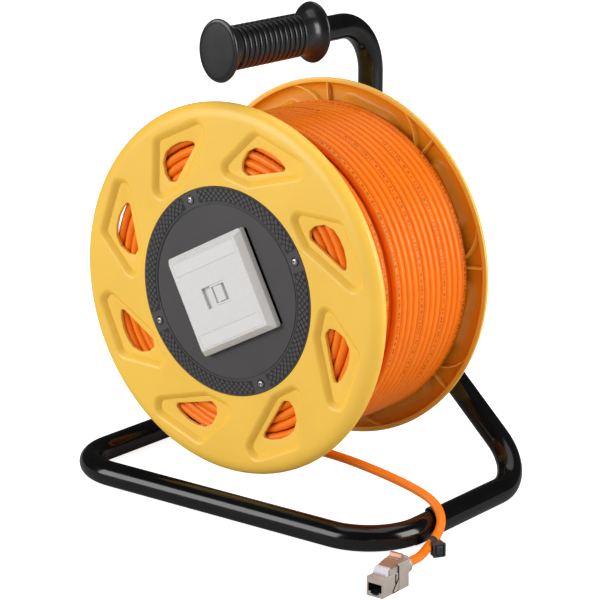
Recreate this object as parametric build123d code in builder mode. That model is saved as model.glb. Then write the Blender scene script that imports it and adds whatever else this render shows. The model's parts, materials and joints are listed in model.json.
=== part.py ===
"""Cable reel with a network outlet: a moulded drum on a bent steel tube stand.

Frame: millimetres, +Z up, the drum's front faces -Y, origin on the floor under
the middle of the stand.
"""
from build123d import *
from math import atan, cos, pi, radians, sin, tan
import os

# ---------------------------------------------------------------- driving dimensions
FLANGE_D = 290          # drum flange diameter
FLANGE_GAP = 147.7      # outside face of one flange to outside face of the other
AXIS_H = 176.3          # drum axis above the floor
FRONT_Y = -85.75        # outside face of the front flange
PANEL_T = 3.0           # moulded wall of the flange panel
RIM_DEPTH = 8.6         # depth of the rolled flange rim
BARREL_R = 84.0         # outside radius of the winding barrel
BARREL_T = 2.5
COVER_R = 81.2          # black centre disc in the flange
COVER_T = 2.5
PATTERN_TURN = 27.0     # how far the drum stands turned on its axle, degrees

TUBE_D = 20.0           # stand tube
TUBE_T = 1.5
BASE_HALF_W = 157.0     # tube centre line to the middle, across
BASE_HALF_D = 98.25     # tube centre line to the middle, front to back
BASE_BEND = 46.0        # centre line radius of the two front corners
FORK_Z = 162.8          # where the legs' centre lines would cross
LEG_BEND = 40.0
TOP_BEND = 41.0
GRIP_Z = 361.8          # centre line of the carrying grip

CABLE_D = 7.0
WINDING_R = 127.0       # outside of the full last layer
OUTLET_SIDE = 80.0      # wall outlet frame
OUTLET_PROUD = 10.0     # outlet face in front of the black disc

# ---------------------------------------------------------------- derived places
REAR_Y = FRONT_Y + FLANGE_GAP
MID_Y = (FRONT_Y + REAR_Y) / 2
FLANGE_R = FLANGE_D / 2
TUBE_R = TUBE_D / 2
CABLE_R = CABLE_D / 2
SEAT_Y = FRONT_Y + COVER_T          # ledge that the black disc sits on
WEB_T = 2.5
HUB_R = 15.0
HUB_LEN = 14.0
BUSH_R = 11.0
AXLE_R = 9.0
RUNNING_GAP = 0.05
COVER_SCREW_R = 75.0
CORE_SCREW_R = 60.0
POST_FRONT_Y = BASE_HALF_D - TUBE_R

drum_axis = Axis((0, 0, AXIS_H), (0, 1, 0))
# Radial section of the drum: sketch x runs along the axle, sketch y is the radius.
section = Plane(origin=(0, 0, AXIS_H), x_dir=(0, 1, 0), z_dir=(1, 0, 0))


def front_plane(y, turn=0.0):
    """Plane across the axle at y, seen from the front, turned anticlockwise."""
    x_dir = (cos(radians(turn)), 0, sin(radians(turn)))
    return Plane(origin=(0, y, AXIS_H), x_dir=x_dir, z_dir=(0, -1, 0))


def write(builder, label):
    builder.part.label = label
    export_step(builder.part, f"parts/{label}.step")


os.makedirs("parts", exist_ok=True)

# ================================================================ stand
# ---- floor loop and both legs, one bent tube closed under the post
corner_z = TUBE_R
grip_end_y = -86.0
leg_slope = (FORK_Z - corner_z) / BASE_HALF_W
apex_x = LEG_BEND * tan(atan(leg_slope) / 2) + 0.8
apex_z = FORK_Z - apex_x * leg_slope
half_loop = [
    (0, -BASE_HALF_D, corner_z),
    (BASE_HALF_W, -BASE_HALF_D, corner_z),
    (BASE_HALF_W, BASE_HALF_D, corner_z),
    (apex_x, BASE_HALF_D, apex_z),
    (0, BASE_HALF_D, apex_z),
]
post_route = [
    (0, grip_end_y, GRIP_Z),
    (0, BASE_HALF_D, GRIP_Z),
    (0, BASE_HALF_D, apex_z + 1),
]


def bent_bar(route, bends, radius):
    """Round bar of the given radius along a bent centre line."""
    with BuildPart() as bar:
        with BuildLine() as centre:
            FilletPolyline(*route, radius=bends)
        with BuildSketch(Plane(centre.line @ 0, z_dir=centre.line % 0)):
            Circle(radius)
        sweep(path=centre.line)
    return bar.part


loop_bar = bent_bar(half_loop, [BASE_BEND, LEG_BEND, LEG_BEND], TUBE_R)
loop_core = bent_bar(half_loop, [BASE_BEND, LEG_BEND, LEG_BEND], TUBE_R - TUBE_T)
with BuildPart() as base_loop:
    add(loop_bar)
    add(loop_core, mode=Mode.SUBTRACT)
    mirror(about=Plane.YZ)
write(base_loop, "base_loop")

# ---- post and handle bar, coped on the top of the loop and welded
with BuildPart() as post_tube:
    add(bent_bar(post_route, [TOP_BEND], TUBE_R))
    add(bent_bar(post_route, [TOP_BEND], TUBE_R - TUBE_T), mode=Mode.SUBTRACT)
    add(loop_bar, mode=Mode.SUBTRACT)
    add(loop_bar.mirror(Plane.YZ), mode=Mode.SUBTRACT)
write(post_tube, "post_tube")

# ---- ribbed carrying grip pushed on the open tube end
GRIP_FRONT_Y = -92.0
GRIP_BACK_Y = 30.0
GRIP_BODY_R = 15.5
GRIP_RING_R = 16.9
GRIP_COLLAR_R = 24.0
RING_PITCH = 6.5
RING_COUNT = 12
CAP_R = 19.0
CAP_T = 2.0
grip_mid_y = (GRIP_FRONT_Y + GRIP_BACK_Y) / 2
grip_section = Plane(origin=(0, 0, GRIP_Z), x_dir=(0, 1, 0), z_dir=(1, 0, 0))
grip_axis = Axis((0, 0, GRIP_Z), (0, 1, 0))

with BuildPart() as grip:
    with BuildSketch(grip_section):
        with BuildLine():
            front_face = Line((GRIP_FRONT_Y, 0), (GRIP_FRONT_Y, GRIP_COLLAR_R - 2))
            front_edge = ThreePointArc(
                front_face @ 1,
                (GRIP_FRONT_Y + 2, GRIP_COLLAR_R),
                (GRIP_FRONT_Y + 4, GRIP_COLLAR_R - 1.6),
            )
            front_flare = Spline(
                front_edge @ 1,
                (GRIP_FRONT_Y + 13, GRIP_BODY_R),
                tangents=[(0.5, -1), (1, 0)],
            )
            body_line = Line(front_flare @ 1, (GRIP_BACK_Y - 13, GRIP_BODY_R))
            back_flare = Spline(
                body_line @ 1,
                (GRIP_BACK_Y - 4, GRIP_COLLAR_R - 1.6),
                tangents=[(1, 0), (0.5, 1)],
            )
            back_edge = ThreePointArc(
                back_flare @ 1,
                (GRIP_BACK_Y - 2, GRIP_COLLAR_R),
                (GRIP_BACK_Y, GRIP_COLLAR_R - 2),
            )
            Polyline(back_edge @ 1, (GRIP_BACK_Y, 0), front_face @ 0)
        make_face()
        first_ring = grip_mid_y - RING_PITCH * (RING_COUNT - 1) / 2
        for ring in range(RING_COUNT):
            with Locations((first_ring + ring * RING_PITCH, GRIP_RING_R / 2)):
                RectangleRounded(3.6, GRIP_RING_R, 1.2)
        with Locations((GRIP_BACK_Y, 0)):
            Rectangle(2 * (GRIP_BACK_Y - grip_end_y), 2 * TUBE_R, mode=Mode.SUBTRACT)
        with Locations((GRIP_FRONT_Y, 0)):
            Rectangle(2 * CAP_T, 2 * CAP_R, mode=Mode.SUBTRACT)
        with Locations((grip_mid_y, -50)):
            Rectangle(400, 100, mode=Mode.SUBTRACT)
    revolve(axis=grip_axis)
write(grip, "grip")

with BuildPart() as grip_end_cap:
    with BuildSketch(grip_section):
        with BuildLine():
            dome = ThreePointArc(
                (GRIP_FRONT_Y - 1.2, 0),
                (GRIP_FRONT_Y - 0.9, CAP_R / 2),
                (GRIP_FRONT_Y, CAP_R - 0.2),
            )
            Polyline(dome @ 1, (GRIP_FRONT_Y + CAP_T, CAP_R - 0.2), (GRIP_FRONT_Y + CAP_T, 0), dome @ 0)
        make_face()
    revolve(axis=grip_axis)
write(grip_end_cap, "grip_end_cap")

# ---- plate and axle welded to the front of the post
PLATE_W, PLATE_H, PLATE_T = 44, 70, 4
plate_y = POST_FRONT_Y - PLATE_T
with BuildPart() as axle_plate:
    with BuildSketch(front_plane(POST_FRONT_Y)):
        RectangleRounded(PLATE_W, PLATE_H, 8)
        Circle(AXLE_R, mode=Mode.SUBTRACT)
    extrude(amount=PLATE_T)
write(axle_plate, "axle_plate")

AXLE_TIP_Y = -40.0
NUT_T = 9.0
WASHER_T = 1.5
hub_front_y = MID_Y - HUB_LEN
washer_y = hub_front_y - 0.3 - WASHER_T
nut_y = washer_y - NUT_T
SHOULDER_R = 14.0
rear_washer_y = REAR_Y + 0.4
THREAD_R = 8.0
with BuildPart() as axle:
    with BuildSketch(section):
        with BuildLine():
            Polyline(
                (AXLE_TIP_Y, 0),
                (AXLE_TIP_Y, THREAD_R - 1),
                (AXLE_TIP_Y + 1, THREAD_R),
                (nut_y + NUT_T, THREAD_R),
                (nut_y + NUT_T, AXLE_R),
                (rear_washer_y + WASHER_T, AXLE_R),
                (rear_washer_y + WASHER_T, SHOULDER_R),
                (plate_y, SHOULDER_R),
                (plate_y, AXLE_R),
                (POST_FRONT_Y, AXLE_R),
                (POST_FRONT_Y, 0),
                close=True,
            )
        make_face()
    revolve(axis=drum_axis)
write(axle, "axle")


def washer(y, inner, outer, thickness):
    """Flat ring round the axle, from y back by its thickness."""
    with BuildPart() as ring:
        with BuildSketch(front_plane(y)):
            Circle(outer)
            Circle(inner, mode=Mode.SUBTRACT)
        extrude(amount=-thickness)
    return ring


write(washer(washer_y, AXLE_R + RUNNING_GAP, 16, WASHER_T), "front_washer")
write(washer(rear_washer_y, AXLE_R + RUNNING_GAP, 18, WASHER_T), "rear_washer")

with BuildPart() as axle_nut:
    with BuildSketch(front_plane(nut_y)):
        RegularPolygon(13.5, 6)
        Circle(THREAD_R, mode=Mode.SUBTRACT)
    extrude(amount=-NUT_T)
    chamfer(axle_nut.faces().sort_by(Axis.Y)[0].outer_wire().edges(), 1.0)
write(axle_nut, "axle_nut")

# ================================================================ drum
# ---- flange moulding: panel with eight pockets and windows, rolled rim, seat for the cover
WINDOW_COUNT = 8
WINDOW_START = -0.8                 # first window centre from the outlet's own axis
POCKET_DEPTH = 4.0
pocket_floor = [(87.5, 34), (90, 8), (117.5, -33.5), (125.5, -31), (126.5, 13)]
RIB_GAP = 2.4                       # half angle between the two ribs of a pair
RIB_T = 2.0
window_step = 360 / WINDOW_COUNT


def pocket_sketch(grow):
    """Five cornered pocket in the panel, radius along x, grown evenly by grow."""
    with BuildSketch() as pocket:
        with BuildLine():
            Polyline(*pocket_floor, close=True)
        make_face()
        fillet(pocket.vertices(), 4)
        offset(amount=grow, kind=Kind.ARC)
    return pocket.sketch


pocket_mouth = pocket_sketch(POCKET_DEPTH - 0.2)
pocket_bulge = pocket_sketch(POCKET_DEPTH + 1.6)

# Leaf shaped opening in the floor of each pocket.
with BuildSketch() as window_hole:
    with BuildLine():
        outer_side = ThreePointArc((113.6, -21.5), (119.5, -4), (116.8, 12))
        broad_corner = ThreePointArc(outer_side @ 1, (110.4, 18), (101, 20))
        round_end = ThreePointArc(broad_corner @ 1, (94.6, 18.2), (92.8, 12.2))
        Line(round_end @ 1, outer_side @ 0)
    make_face()


COVER_SCREW_HOLE_R = 2.2
RIM_T = 3.0
RIM_ROLL = 8.0                      # outside radius of the rolled edge
SEAT_BORE_R = 69.0
back_y = FRONT_Y + PANEL_T
seat_back_y = SEAT_Y + PANEL_T


def flange_moulding(turn):
    """Front flange moulding, turned anticlockwise on the axle by turn."""
    rib_turn = turn + WINDOW_START + window_step / 2
    with BuildPart() as flange:
        with BuildSketch(section):
            with BuildLine():
                Polyline(
                    (FRONT_Y + RIM_DEPTH, FLANGE_R),
                    (FRONT_Y, FLANGE_R),
                    (FRONT_Y, COVER_R + 0.6),
                    (SEAT_Y, COVER_R + 0.6),
                    (SEAT_Y, SEAT_BORE_R),
                    (seat_back_y, SEAT_BORE_R),
                    (seat_back_y, BARREL_R),
                    (back_y, BARREL_R),
                    (back_y, FLANGE_R - RIM_T),
                    (FRONT_Y + RIM_DEPTH, FLANGE_R - RIM_T),
                    close=True,
                )
            make_face()
        revolve(axis=drum_axis)
        rim_edges = flange.edges().filter_by(GeomType.CIRCLE)
        outer_edge = rim_edges.filter_by(lambda e: abs(e.radius - FLANGE_R) < 0.01).sort_by(Axis.Y)
        fillet(outer_edge[0], RIM_ROLL)
        inner_edge = rim_edges.filter_by(lambda e: abs(e.radius - FLANGE_R + RIM_T) < 0.01).sort_by(Axis.Y)
        fillet(inner_edge[0], RIM_ROLL - RIM_T)
        for pair in range(WINDOW_COUNT):
            for side in (-RIB_GAP, RIB_GAP):
                angle = rib_turn + pair * window_step + side
                with BuildSketch(front_plane(back_y, angle)):
                    with Locations((115, 0)):
                        Rectangle(56, RIB_T)
                extrude(amount=-POCKET_DEPTH)
        for window in range(WINDOW_COUNT):
            angle = turn + WINDOW_START + window * window_step
            with BuildSketch(front_plane(FRONT_Y + 0.5, angle)):
                add(pocket_bulge)
            extrude(amount=-(POCKET_DEPTH + PANEL_T - 1.0), taper=38)
            with BuildSketch(front_plane(FRONT_Y, angle)):
                add(pocket_mouth)
            extrude(amount=-POCKET_DEPTH, taper=42, mode=Mode.SUBTRACT)
            with BuildSketch(front_plane(FRONT_Y, angle)):
                add(window_hole.sketch)
            extrude(amount=-12, mode=Mode.SUBTRACT)
        with BuildSketch(front_plane(SEAT_Y, turn)):
            with PolarLocations(COVER_SCREW_R, 4):
                Circle(COVER_SCREW_HOLE_R)
        extrude(amount=-PANEL_T, mode=Mode.SUBTRACT)
    return flange


with BuildPart() as front_flange:
    add(flange_moulding(PATTERN_TURN).part)
write(front_flange, "front_flange")

# The rear mouldings are the same as the front ones, turned about a vertical axis.
rear_turn = 180 - PATTERN_TURN
rear_place = Location((0, 2 * MID_Y, 0), (0, 0, 180))
with BuildPart() as rear_flange:
    add(flange_moulding(rear_turn).part.moved(rear_place))
write(rear_flange, "rear_flange")

# ---- half barrel: winding wall, web and hub, with bosses for both sets of screws
COVER_BOSS_R = 4.0
COVER_BOSS_LEN = 12.0
CORE_BOSS_R = 6.0
CORE_BOSS_LEN = 16.0
half_barrel_back_y = MID_Y - RUNNING_GAP


def half_barrel(turn):
    """Front half of the barrel, turned anticlockwise on the axle by turn."""
    wall_inner_r = BARREL_R - BARREL_T
    with BuildPart() as barrel:
        with BuildSketch(section):
            with BuildLine():
                Polyline(
                    (seat_back_y, BARREL_R),
                    (half_barrel_back_y, BARREL_R),
                    (half_barrel_back_y, BUSH_R),
                    (hub_front_y, BUSH_R),
                    (hub_front_y, HUB_R),
                    (MID_Y - WEB_T, HUB_R),
                    (MID_Y - WEB_T, wall_inner_r),
                    (seat_back_y, wall_inner_r),
                    close=True,
                )
            make_face()
        revolve(axis=drum_axis)
        with BuildSketch(front_plane(seat_back_y, turn)):
            with PolarLocations(COVER_SCREW_R, 4):
                Circle(COVER_BOSS_R)
                with Locations((COVER_BOSS_R, 0)):
                    Rectangle(2 * COVER_BOSS_R - 1, 3)
        extrude(amount=-COVER_BOSS_LEN)
        with BuildSketch(front_plane(half_barrel_back_y, turn)):
            with PolarLocations(CORE_SCREW_R, 4):
                Circle(CORE_BOSS_R)
        extrude(amount=CORE_BOSS_LEN)
        with BuildSketch(front_plane(seat_back_y, turn)):
            with PolarLocations(COVER_SCREW_R, 4):
                Circle(1.9)
        extrude(amount=-COVER_BOSS_LEN, mode=Mode.SUBTRACT)
        with BuildSketch(front_plane(half_barrel_back_y, turn)):
            with PolarLocations(CORE_SCREW_R, 4):
                Circle(3.1)
        extrude(amount=CORE_BOSS_LEN, mode=Mode.SUBTRACT)
    return barrel


TAIL_TURN = PATTERN_TURN - 90       # the cable goes in square to the outlet box's lower side
TAIL_Y = -68.0
tail_dir = (cos(radians(TAIL_TURN)), 0, sin(radians(TAIL_TURN)))
with BuildPart() as front_barrel:
    add(half_barrel(PATTERN_TURN).part)
    with BuildSketch(Plane(origin=(0, TAIL_Y, AXIS_H), z_dir=tail_dir)):
        Circle(CABLE_R + 1)
    extrude(amount=BARREL_R + 6, mode=Mode.SUBTRACT)
write(front_barrel, "front_barrel")

with BuildPart() as rear_barrel:
    add(half_barrel(rear_turn).part.moved(rear_place))
write(rear_barrel, "rear_barrel")

# ---- four long screws that clamp the two half barrels together
CORE_SCREW_HEAD_Y = MID_Y + 16.1
with BuildPart() as core_screws:
    for screw in range(4):
        angle = PATTERN_TURN + screw * 90
        with BuildSketch(front_plane(CORE_SCREW_HEAD_Y, angle)):
            with Locations((CORE_SCREW_R, 0)):
                Circle(3.0)
        extrude(amount=32)
        with BuildSketch(front_plane(CORE_SCREW_HEAD_Y, angle)):
            with Locations((CORE_SCREW_R, 0)):
                Circle(5.5)
        extrude(amount=-3.5)
        with BuildSketch(front_plane(CORE_SCREW_HEAD_Y + 3.5, angle)):
            with Locations((CORE_SCREW_R, 0)):
                RegularPolygon(2.6, 6)
        extrude(amount=2.2, mode=Mode.SUBTRACT)
write(core_screws, "core_screws")

# ---- flanged plain bearings
with BuildPart() as front_bush:
    with BuildSketch(front_plane(MID_Y + HUB_LEN - 1)):
        Circle(BUSH_R)
        Circle(AXLE_R + RUNNING_GAP, mode=Mode.SUBTRACT)
    extrude(amount=2 * HUB_LEN - 1)
    with BuildSketch(front_plane(hub_front_y)):
        Circle(14)
        Circle(AXLE_R + RUNNING_GAP, mode=Mode.SUBTRACT)
    extrude(amount=0.25)
write(front_bush, "front_bush")

REAR_HUB_LEN = 14.0
COVER_SCREW_RECESS_R = 3.6
with BuildPart() as rear_bush:
    with BuildSketch(front_plane(REAR_Y)):
        Circle(BUSH_R)
        Circle(AXLE_R + RUNNING_GAP, mode=Mode.SUBTRACT)
    extrude(amount=REAR_HUB_LEN)
write(rear_bush, "rear_bush")

# ---- rear cover with its bearing hub
with BuildPart() as rear_cover:
    with BuildSketch(front_plane(REAR_Y)):
        Circle(COVER_R)
    extrude(amount=COVER_T)
    with BuildSketch(front_plane(REAR_Y - COVER_T)):
        Circle(HUB_R)
    extrude(amount=REAR_HUB_LEN - COVER_T)
    for rib in range(8):
        with BuildSketch(front_plane(REAR_Y - COVER_T, rib * 45 + PATTERN_TURN + 22.5)):
            with Locations((40, 0)):
                Rectangle(52, 2)
        extrude(amount=6)
    with BuildSketch(front_plane(REAR_Y + 1)):
        Circle(BUSH_R)
    extrude(amount=REAR_HUB_LEN + 2, mode=Mode.SUBTRACT)
    for screw in range(4):
        with BuildSketch(front_plane(REAR_Y, PATTERN_TURN + screw * 90)):
            with Locations((COVER_SCREW_R, 0)):
                Circle(COVER_SCREW_HOLE_R)
        extrude(amount=COVER_T, mode=Mode.SUBTRACT)
        with BuildSketch(front_plane(REAR_Y, PATTERN_TURN + screw * 90)):
            with Locations((COVER_SCREW_R, 0)):
                Circle(COVER_SCREW_RECESS_R)
        extrude(amount=1.2, mode=Mode.SUBTRACT)
write(rear_cover, "rear_cover")


COVER_SCREW_LEN = 12.0
COVER_SCREW_HEAD_R = 2.8


def cover_screw_set(face_y, inward, label):
    """Four short panel screws; inward is +1 for the front cover and -1 for the rear."""
    with BuildPart() as screws:
        for screw in range(4):
            with BuildSketch(front_plane(face_y + inward * 1.2, PATTERN_TURN + screw * 90)):
                with Locations((COVER_SCREW_R, 0)):
                    Circle(1.8)
            extrude(amount=-inward * COVER_SCREW_LEN)
            with BuildSketch(front_plane(face_y + inward * 1.2, PATTERN_TURN + screw * 90)):
                with Locations((COVER_SCREW_R, 0)):
                    Circle(COVER_SCREW_HEAD_R)
            extrude(amount=inward * 1.6)
            with BuildSketch(front_plane(face_y - inward * 0.4, PATTERN_TURN + screw * 90)):
                with Locations((COVER_SCREW_R, 0)):
                    Rectangle(3.6, 0.9)
                    Rectangle(0.9, 3.6)
            extrude(amount=-inward * 1.1, mode=Mode.SUBTRACT)
    write(screws, label)


cover_screw_set(FRONT_Y, 1, "front_cover_screws")
cover_screw_set(REAR_Y, -1, "rear_cover_screws")

# ---- black front cover with the outlet cut-out
CUTOUT = (-38.0, 42.4)              # sides of the cut-out across the outlet
CUTOUT_HALF_H = 38.6
GROOVE_R = 68.0


def outlet_at(depth):
    """Plane of the outlet, depth behind the front face of the black cover."""
    return front_plane(FRONT_Y + depth, PATTERN_TURN)


with BuildPart() as front_cover:
    with BuildSketch(outlet_at(0)):
        Circle(COVER_R)
    extrude(amount=-COVER_T)
    with BuildSketch(outlet_at(0)):
        Circle(GROOVE_R + 0.4)
        Circle(GROOVE_R - 0.4, mode=Mode.SUBTRACT)
    extrude(amount=-0.5, mode=Mode.SUBTRACT)
    with BuildSketch(outlet_at(0)):
        with Locations(((CUTOUT[0] + CUTOUT[1]) / 2, 0)):
            Rectangle(CUTOUT[1] - CUTOUT[0], 2 * CUTOUT_HALF_H)
    extrude(amount=-COVER_T, mode=Mode.SUBTRACT)
    with BuildSketch(outlet_at(0)):
        with PolarLocations(COVER_SCREW_R, 4):
            Circle(COVER_SCREW_HOLE_R)
    extrude(amount=-COVER_T, mode=Mode.SUBTRACT)
    with BuildSketch(outlet_at(0)):
        with PolarLocations(COVER_SCREW_R, 4):
            Circle(COVER_SCREW_RECESS_R)
    extrude(amount=-1.2, mode=Mode.SUBTRACT)
write(front_cover, "front_cover")

# ---- flush box behind the cover
BOX_OUT = 92.0
BOX_WALL = 2.0
BOX_DEPTH = 30.0
with BuildPart() as socket_box:
    with BuildSketch(outlet_at(COVER_T)):
        RectangleRounded(BOX_OUT, BOX_OUT, 6)
    extrude(amount=-BOX_DEPTH)
    with BuildSketch(outlet_at(COVER_T)):
        RectangleRounded(BOX_OUT - 2 * BOX_WALL, BOX_OUT - 2 * BOX_WALL, 4)
    extrude(amount=-(BOX_DEPTH - BOX_WALL), mode=Mode.SUBTRACT)
    with BuildSketch(Plane(origin=(0, TAIL_Y, AXIS_H), z_dir=tail_dir)):
        Circle(CABLE_R + 2.5)
    extrude(amount=BOX_OUT / 2 + 1, mode=Mode.SUBTRACT)
write(socket_box, "socket_box")

# ---- rubber grommet in the box wall and the tail of cable that it holds
with BuildPart() as box_grommet:
    with BuildSketch(Plane(origin=Vector(0, TAIL_Y, AXIS_H) + Vector(*tail_dir) * (BOX_OUT / 2 - 4), z_dir=tail_dir)):
        Circle(CABLE_R + 2.5)
        Circle(CABLE_R, mode=Mode.SUBTRACT)
    extrude(amount=8)
write(box_grommet, "box_grommet")

TAIL_INNER_R = 20.0
with BuildPart() as cable_tail:
    with BuildSketch(Plane(origin=Vector(0, TAIL_Y, AXIS_H) + Vector(*tail_dir) * TAIL_INNER_R, z_dir=tail_dir)):
        Circle(CABLE_R)
    extrude(amount=BARREL_R - TAIL_INNER_R)
write(cable_tail, "cable_tail")

# ---- white outlet: bevelled frame, flat insert, shutter, label strips, network port
FRAME_WALL_H = 4.9
INSERT_SIDE = 72.0
INSERT_T = 2.2
face_depth = -OUTLET_PROUD
with BuildPart() as outlet_frame:
    with BuildSketch(outlet_at(0)):
        RectangleRounded(OUTLET_SIDE, OUTLET_SIDE, 2.5)
    with BuildSketch(outlet_at(-FRAME_WALL_H)):
        RectangleRounded(OUTLET_SIDE, OUTLET_SIDE, 2.5)
    loft(ruled=True)
    with BuildSketch(outlet_at(-FRAME_WALL_H)):
        RectangleRounded(OUTLET_SIDE, OUTLET_SIDE, 2.5)
    with BuildSketch(outlet_at(face_depth)):
        RectangleRounded(INSERT_SIDE, INSERT_SIDE, 1.0)
    loft(ruled=True)
    with BuildSketch(outlet_at(0)):
        RectangleRounded(INSERT_SIDE - 0.8, INSERT_SIDE - 0.8, 1.0)
    extrude(amount=OUTLET_PROUD, mode=Mode.SUBTRACT)
write(outlet_frame, "outlet_frame")

SLOT_U = (-13.6, 10.6)              # window that the shutter slides in
SLOT_V = (-7.9, 8.7)
TRACK_DEPTH = 2.8
SHUTTER_U = (-5.0, 10.4)
PORT_U = (2.0, 10.2)                # network port opening under the shutter
PORT_V = (-5.7, 6.3)
PORT_DEPTH = 16.0
slot_mid = ((SLOT_U[0] + SLOT_U[1]) / 2, (SLOT_V[0] + SLOT_V[1]) / 2)
slot_size = (SLOT_U[1] - SLOT_U[0], SLOT_V[1] - SLOT_V[0])
port_mid = ((PORT_U[0] + PORT_U[1]) / 2, (PORT_V[0] + PORT_V[1]) / 2)
port_size = (PORT_U[1] - PORT_U[0], PORT_V[1] - PORT_V[0])
LABEL_V = 29.2
LABEL_W, LABEL_H = 66.0, 10.4
with BuildPart() as outlet_insert:
    with BuildSketch(outlet_at(face_depth)):
        RectangleRounded(INSERT_SIDE - 1.0, INSERT_SIDE - 1.0, 0.9)
    extrude(amount=-INSERT_T)
    with BuildSketch(outlet_at(face_depth + INSERT_T)):
        with Locations(slot_mid):
            Rectangle(slot_size[0] + 4, slot_size[1] + 4)
    extrude(amount=-(TRACK_DEPTH + 1.6 - INSERT_T))
    with BuildSketch(outlet_at(face_depth)):
        with Locations(slot_mid):
            Rectangle(*slot_size)
    extrude(amount=-TRACK_DEPTH, mode=Mode.SUBTRACT)
    with BuildSketch(outlet_at(face_depth + 1.4)):
        with Locations(slot_mid):
            Rectangle(slot_size[0], slot_size[1] + 1.6)
    extrude(amount=-(TRACK_DEPTH - 1.4), mode=Mode.SUBTRACT)
    with BuildSketch(outlet_at(face_depth)):
        with Locations(port_mid):
            Rectangle(*port_size)
    extrude(amount=-8, mode=Mode.SUBTRACT)
    with BuildSketch(outlet_at(face_depth)):
        with Locations((0, LABEL_V), (0, -LABEL_V)):
            Rectangle(LABEL_W, LABEL_H)
    extrude(amount=-0.8, mode=Mode.SUBTRACT)
write(outlet_insert, "outlet_insert")

with BuildPart() as label_strips:
    with BuildSketch(outlet_at(face_depth)):
        with Locations((0, LABEL_V), (0, -LABEL_V)):
            Rectangle(LABEL_W - 0.3, LABEL_H - 0.3)
    extrude(amount=-0.8)
write(label_strips, "label_strips")

SHUTTER_GAP = 0.15
shutter_mid = ((SHUTTER_U[0] + SHUTTER_U[1]) / 2, slot_mid[1])
shutter_size = (SHUTTER_U[1] - SHUTTER_U[0], slot_size[1] - 2 * SHUTTER_GAP)
WELL = (13.4, 13.2)
FINGER = (8.6, 12.2)
with BuildPart() as dust_shutter:
    with BuildSketch(outlet_at(face_depth + 0.3)):
        with Locations(shutter_mid):
            Rectangle(*shutter_size)
    extrude(amount=-(TRACK_DEPTH - 0.3 - SHUTTER_GAP))
    with BuildSketch(outlet_at(face_depth + 1.4 + SHUTTER_GAP)):
        with Locations(shutter_mid):
            Rectangle(shutter_size[0], shutter_size[1] + 1.4)
    extrude(amount=-(TRACK_DEPTH - 1.4 - 2 * SHUTTER_GAP))
    with BuildSketch(outlet_at(face_depth + 0.3)):
        with Locations((shutter_mid[0] + 0.3, slot_mid[1])):
            Rectangle(*WELL)
    extrude(amount=-1.8, mode=Mode.SUBTRACT)
    with BuildSketch(outlet_at(face_depth - 0.4)):
        with Locations((shutter_mid[0] + 0.3, slot_mid[1])):
            Rectangle(*FINGER)
    extrude(amount=-(TRACK_DEPTH + 0.4 - SHUTTER_GAP))
write(dust_shutter, "dust_shutter")

module_depth = face_depth + TRACK_DEPTH + 1.6
MODULE_SIZE = (16.0, 17.0)
MODULE_LEN = 24.0
with BuildPart() as outlet_port:
    with BuildSketch(outlet_at(module_depth)):
        with Locations(port_mid):
            Rectangle(*MODULE_SIZE)
    extrude(amount=-MODULE_LEN)
    with BuildSketch(outlet_at(module_depth)):
        with Locations(port_mid):
            Rectangle(*port_size)
    extrude(amount=-PORT_DEPTH, mode=Mode.SUBTRACT)
write(outlet_port, "outlet_port")

CONTACT_PITCH = 1.02
with BuildPart() as port_contacts:
    for contact in range(8):
        with BuildSketch(outlet_at(module_depth + 4)):
            with Locations((PORT_U[0] + 0.5, port_mid[1] + (contact - 3.5) * CONTACT_PITCH)):
                Rectangle(1.0, 0.4)
        extrude(amount=-(PORT_DEPTH - 4))
write(port_contacts, "port_contacts")

# ---- steel strap that carries the insert and the port on the flush box
STRAP_SIDE = 70.0
with BuildPart() as mounting_strap:
    with BuildSketch(outlet_at(-1.2)):
        RectangleRounded(STRAP_SIDE, STRAP_SIDE, 3)
        with Locations(port_mid):
            Rectangle(MODULE_SIZE[0] + 0.6, MODULE_SIZE[1] + 0.6, mode=Mode.SUBTRACT)
        with Locations((-20, 0), (27, 0)):
            Rectangle(16, 40, mode=Mode.SUBTRACT)
    extrude(amount=-1.2)
write(mounting_strap, "mounting_strap")

# ================================================================ cable
# ---- one closed solid for the wound cable, lower by a layer beside the front flange
WINDING_FRONT_Y = FRONT_Y + PANEL_T + POCKET_DEPTH + 0.35
WINDING_REAR_Y = REAR_Y - PANEL_T - POCKET_DEPTH - 0.35
STEP_Y = -45.8
STEP_WINDING_R = 120.2
with BuildPart() as cable_winding:
    with BuildSketch(section):
        with BuildLine():
            Polyline(
                (WINDING_FRONT_Y, BARREL_R + 0.2),
                (WINDING_FRONT_Y, STEP_WINDING_R - 2),
                (WINDING_FRONT_Y + 2, STEP_WINDING_R),
                (STEP_Y, STEP_WINDING_R),
                (STEP_Y + 2, WINDING_R),
                (WINDING_REAR_Y - 2, WINDING_R),
                (WINDING_REAR_Y, WINDING_R - 2),
                (WINDING_REAR_Y, BARREL_R + 0.2),
                close=True,
            )
        make_face()
    revolve(axis=drum_axis)
write(cable_winding, "cable_winding")

# ---- free lead: out of the winding, over the stand tube, tied to it, into the jack
lead_route = [
    (0, -49.75, 52.5),
    (38, -49.25, 52.0),
    (76, -44.75, 50.1),
    (112, -39.75, 43.3),
    (140, -33.75, 34.8),
    (160, -33.0, 27.2),
    (171, -39.5, 18.0),
    (174.3, -49.5, 10.0),
    (177, -64.5, 6.6),
    (186, -86.5, 7.8),
    (194.8, -107, 12.4),
    (196.25, -127.7, 14),
]


def corner_radii(route):
    """Largest tangent arc that each corner of a route leaves room for."""
    radii = []
    for before, here, after in zip(route, route[1:], route[2:]):
        run_in = Vector(*here) - Vector(*before)
        run_out = Vector(*after) - Vector(*here)
        half_turn = radians(run_in.get_angle(run_out)) / 2
        radii.append(0.45 * min(run_in.length, run_out.length) / tan(half_turn))
    return radii


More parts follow.
